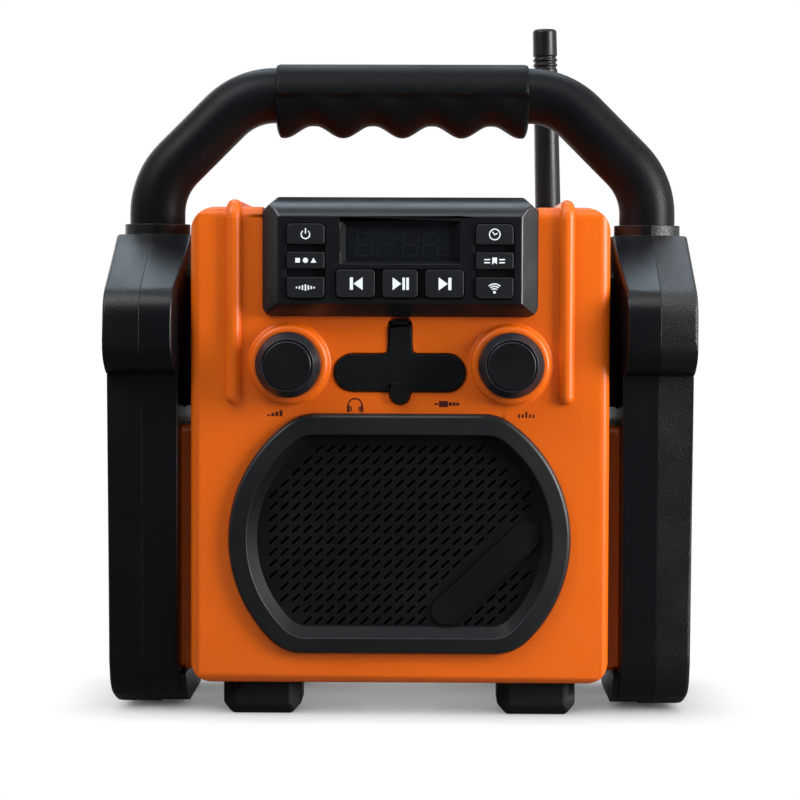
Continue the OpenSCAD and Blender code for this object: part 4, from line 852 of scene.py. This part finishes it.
GRIP_WALL = 1.6                     # the rubber's thickness over the tube
GRIP_THIN = 0.5                     # its thickness at its very ends
GRIP_END = 2.3                      # length over which an end is rounded
BUMPS = 4.25                        # finger bumps along the grip
BUMP_MEAN, BUMP_SWING = 3.9, 2.8    # thickness below the tube, and how far the bumps change it
BUMP_LEAST = 1.2
GRIP_AROUND = 96                    # points round the grip
GRIP_ALONG = 260                    # steps along it, between its ends
GRIP_END_STEPS = 10


def smooth_max(a, b, k):
    h = max(0.0, min(1.0, 0.5 + (a - b) / (2 * k)))
    return b + (a - b) * h + k * h * (1 - h)


def grip_ring(x, half, tube_r, axis_z):
    """The grip's section at a place along it: round on top, with a finger bump or a valley below."""
    t = min(1.0, (half - abs(x)) / GRIP_END)
    rise = math.sqrt(max(0.0, 1 - (1 - t) ** 2))
    wave = BUMP_MEAN - BUMP_SWING * math.cos(math.pi + math.pi * x / half * BUMPS)
    drop = GRIP_THIN + (smooth_max(BUMP_LEAST, wave, 0.5) - GRIP_THIN) * rise
    radius = tube_r + GRIP_THIN + (GRIP_WALL - GRIP_THIN) * rise
    ring = []
    for i in range(GRIP_AROUND):
        a = 2 * math.pi * i / GRIP_AROUND
        y, z = radius * math.cos(a), radius * math.sin(a)
        if z < 0:
            y *= 1 - 0.1 * drop / 6
            z *= (tube_r + drop) / radius
        ring.append((x, y, axis_z + z))
    return ring


def grip():
    """The rubber grip, whose ends are round shoulders."""
    half, radius, top = corners("grip_sleeve")[1]
    tube_r, axis_z = radius - GRIP_WALL, top - radius
    xs = [-half + GRIP_END * (1 - math.cos(i / GRIP_END_STEPS * math.pi / 2))
          for i in range(GRIP_END_STEPS + 1)]
    start, length = -half + GRIP_END, 2 * (half - GRIP_END)
    xs += [start + length * i / GRIP_ALONG for i in range(1, GRIP_ALONG)]
    xs += [-x for x in reversed(xs[:GRIP_END_STEPS + 1])]
    rings = [grip_ring(x, half, tube_r, axis_z) for x in xs]
    bore = tube_r + 0.06
    turns = [2 * math.pi * i / GRIP_AROUND for i in range(GRIP_AROUND)]
    for x in (half, -half):
        rings.append([(x, bore * math.cos(a), axis_z + bore * math.sin(a)) for a in turns])
    obj = add_piece("grip", closed_sweep(rings), "grip_rubber", node="grip_sleeve")
    finish_normals(obj, 50)


# ------------------------------------------------------------------ printed marks

class Print:
    """Marks printed on a face that looks forward: thin plates, drawn in X and Z."""

    def __init__(self, x, y, z, raised=0.06, sunk=0.05):
        self.bm = bmesh.new()
        self.x, self.z = x, z
        self.front, self.back = y - raised, y + sunk

    def points(self, outline, y):
        return [self.bm.verts.new(Vector((self.x + x, y, self.z + z)) * MM) for x, z in outline]

    def shape(self, outline):
        """A closed outline without holes, given anticlockwise as seen from the front."""
        front, back = self.points(outline, self.front), self.points(outline, self.back)
        self.bm.faces.new(front)
        self.bm.faces.new(back[::-1])
        for i in range(len(outline)):
            j = (i + 1) % len(outline)
            self.bm.faces.new((front[i], back[i], back[j], front[j]))

    def box(self, x0, z0, x1, z1):
        x0, x1 = sorted((x0, x1))
        self.shape([(x0, z0), (x1, z0), (x1, z1), (x0, z1)])

    def line(self, a, b, width):
        a, b = Vector(a), Vector(b)
        along = b - a
        side = Vector((-along.y, along.x)).normalized() * (width / 2)
        self.shape([a - side, b - side, b + side, a + side])

    def disc(self, x, z, radius, steps=32):
        turns = [2 * math.pi * i / steps for i in range(steps)]
        self.shape([(x + radius * math.cos(a), z + radius * math.sin(a)) for a in turns])

    def arc(self, x, z, radius, width, start=0, stop=360, steps=40):
        """A bent line. Its start and stop are degrees, and all the way round makes a ring."""
        full = stop - start >= 360
        count = steps if full else steps + 1
        turns = [math.radians(start + (stop - start) * i / steps) for i in range(count)]
        rings = [self.points([(x + r * math.cos(a), z + r * math.sin(a)) for a in turns], y)
                 for y in (self.front, self.back) for r in (radius - width / 2, radius + width / 2)]
        front_in, front_out, back_in, back_out = rings
        for i in range(steps):
            j = (i + 1) % count
            for quad in ((front_in[i], front_out[i], front_out[j], front_in[j]),
                         (back_in[i], back_in[j], back_out[j], back_out[i]),
                         (front_in[i], front_in[j], back_in[j], back_in[i]),
                         (front_out[i], back_out[i], back_out[j], front_out[j])):
                self.bm.faces.new(quad)
        if not full:
            for i in (0, steps):
                self.bm.faces.new((front_in[i], back_in[i], back_out[i], front_out[i]))

    def done(self, name, material, body, slot):
        bmesh.ops.recalc_face_normals(self.bm, faces=self.bm.faces)
        return add_piece(name, self.bm, material, body=body)


def power_sign(p):
    p.arc(0, -0.2, 1.8, 0.5, 127, 413, 36)
    p.box(-0.26, 0.1, 0.26, 2.4)


def clock_sign(p):
    p.arc(0, 0, 2.25, 0.45)
    p.line((0.12, -0.42), (-0.95, 1.15), 0.42)
    p.line((-0.1, -0.3), (1.15, 0.55), 0.42)


def mode_sign(p):
    """Three plain figures: a square, a disc and a triangle."""
    p.box(-4.3, -1.0, -2.3, 1.0)
    p.disc(0, 0, 1.12)
    p.shape([(2.2, -1.0), (4.6, -1.0), (3.4, 1.15)])


def scan_sign(p):
    """The bars of a level that swells and sinks."""
    for i, height in enumerate((0.35, 0.65, 1.0, 1.3, 1.0, 0.65, 0.35)):
        x = (i - 3) * 1.25
        p.box(x - 0.32, -height, x + 0.32, height)


def memory_sign(p):
    """A ribbon between two rows of lines."""
    p.shape([(-1.0, -1.5), (0, -0.6), (1.0, -1.5), (1.0, 1.4), (-1.0, 1.4)])
    for side in (-1, 1):
        for z in (-0.75, 0.55):
            p.box(side * 1.9, z - 0.26, side * 4.4, z + 0.26)


def link_sign(p):
    """A dot that sends out arcs."""
    p.disc(0, -1.7, 0.62)
    for radius in (1.5, 2.5, 3.5):
        p.arc(0, -1.7, radius, 0.5, 46, 134, 14)


def skip_sign(p, way):
    """An arrowhead that points at a bar: to the left where way is 1, to the right where it is -1."""
    p.box(way * -2.75, -2.6, way * -1.4, 2.6)
    p.shape([(way * -1.2, 0), (way * 2.7, -2.75), (way * 2.7, 2.75)][::way])


def previous_sign(p):
    skip_sign(p, 1)


def next_sign(p):
    skip_sign(p, -1)


def play_sign(p):
    p.shape([(-3.4, -2.7), (0.3, 0), (-3.4, 2.7)])
    p.box(0.75, -2.6, 1.85, 2.6)
    p.box(2.4, -2.6, 3.5, 2.6)


def volume_sign(p):
    """A rising level."""
    for i in range(4):
        p.box(-3.3 + i * 1.75, -1.2, -2.05 + i * 1.75, -0.45 + 0.62 * i)


def headphones_sign(p):
    p.arc(0, -0.2, 3.0, 0.6, 0, 180, 30)
    for side in (-1, 1):
        p.box(side * 3.5, -3.0, side * 2.25, -0.2)
        p.box(side * 1.95, -2.7, side * 1.4, -0.6)


def input_sign(p):
    """A jack plug."""
    p.box(-5.6, -0.4, -3.9, 0.4)
    p.box(-3.6, -1.3, 0.3, 1.3)
    p.box(0.65, -0.75, 2.0, 0.75)
    p.box(2.35, -0.75, 3.45, 0.75)
    p.shape([(3.8, -0.75), (4.9, -0.5), (5.5, 0), (4.9, 0.5), (3.8, 0.75)])


def tuning_sign(p):
    """A tuning scale, its middle line the longest."""
    for i in range(5):
        height = 2.6 if i == 2 else 1.5
        p.box(-3.5 + i * 1.55, -1.2, -2.7 + i * 1.55, -1.2 + height)


KEY_SIGNS = (                       # key, sign, how far it sits to the right of the key's middle
    ("power", power_sign, 0), ("clock", clock_sign, 0), ("mode", mode_sign, 0), ("scan", scan_sign, 0),
    ("memory", memory_sign, 0), ("link", link_sign, 0), ("previous", previous_sign, 0.4),
    ("next", next_sign, 0.2), ("play", play_sign, 0.3),
)
CASE_SIGNS = (                      # name, sign, place in X and Z
    ("volume", volume_sign, -53.6, 131.1), ("headphones", headphones_sign, -19.2, 134.8),
    ("input", input_sign, 20.4, 135.4), ("tuning", tuning_sign, 54.3, 130.8),
)


def key_marks():
    for name, sign, nudge in KEY_SIGNS:
        key = "key_" + name
        low, high = corners(key)
        mark = Print((low[0] + high[0]) / 2 + nudge, KEY_FACE, (low[2] + high[2]) / 2)
        sign(mark)
        mark.done("mark_" + name, "ink", key, "key_rubber")


def case_marks():
    """Dark red signs on the case, at the knobs and the jacks."""
    for name, sign, x, z in CASE_SIGNS:
        mark = Print(x, FACE_Y, z, raised=0.04)
        sign(mark)
        mark.done("mark_" + name, "maroon_ink", "case", "orange_plastic")


# ------------------------------------------------------------------ the display's segments

DISPLAY_Z = 203.6
DIGITS = (-15.2, -6.6, 4.4, 13.0)   # the digits' middles
DIGIT_WIDTH, DIGIT_HEIGHT = 6.2, 10.6
SEGMENT = 0.95                      # a segment's thickness
SEGMENT_GAP = 0.16
SLANT = 0.06


def digit(p, middle):
    """The seven segments of a digit, which leans to the right."""
    wide, high, thick = DIGIT_WIDTH / 2, DIGIT_HEIGHT / 2, SEGMENT / 2
    for x in (middle - wide, middle + wide):
        for z0, z1 in ((SEGMENT * 0.7 - high, -SEGMENT * 0.3), (SEGMENT * 0.3, high - SEGMENT * 0.7)):
            foot, head = x + SLANT * z0, x + SLANT * z1
            p.shape([(foot - thick, z0 + SEGMENT_GAP), (foot + thick, z0 + SEGMENT_GAP),
                     (head + thick, z1 - SEGMENT_GAP), (head - thick, z1 - SEGMENT_GAP)])
    for z in (thick - high, 0, high - thick):
        x = middle + SLANT * z
        below, above = wide - SEGMENT * 0.6, wide - SEGMENT * 0.9
        p.shape([(x - below, z - thick), (x + below, z - thick),
                 (x + above, z + thick), (x - above, z + thick)])


def display_ghost():
    """The display's unlit segments, which show faintly behind the glass."""
    p = Print(0, LCD_FACE, DISPLAY_Z, raised=0.055, sunk=0.01)
    for middle in DIGITS:
        digit(p, middle)
    for z in (-2.2, 2.2):           # the colon
        p.disc(-1.2 + SLANT * z, z, 0.6, 16)
    for z in (-4.0, -1.4, 1.2, 3.8):    # the battery level
        p.box(18.2, z - 0.8, 20.8, z + 0.8)
    p.done("display_segments", "lcd_segment", "case", "lcd")


MAT = materials()
studio()
camera()
dress_nodes()
guards()
shells()
display_housing()
keys()
knobs()
small_forms()
speaker_frame()
grip()
key_marks()
case_marks()
display_ghost()
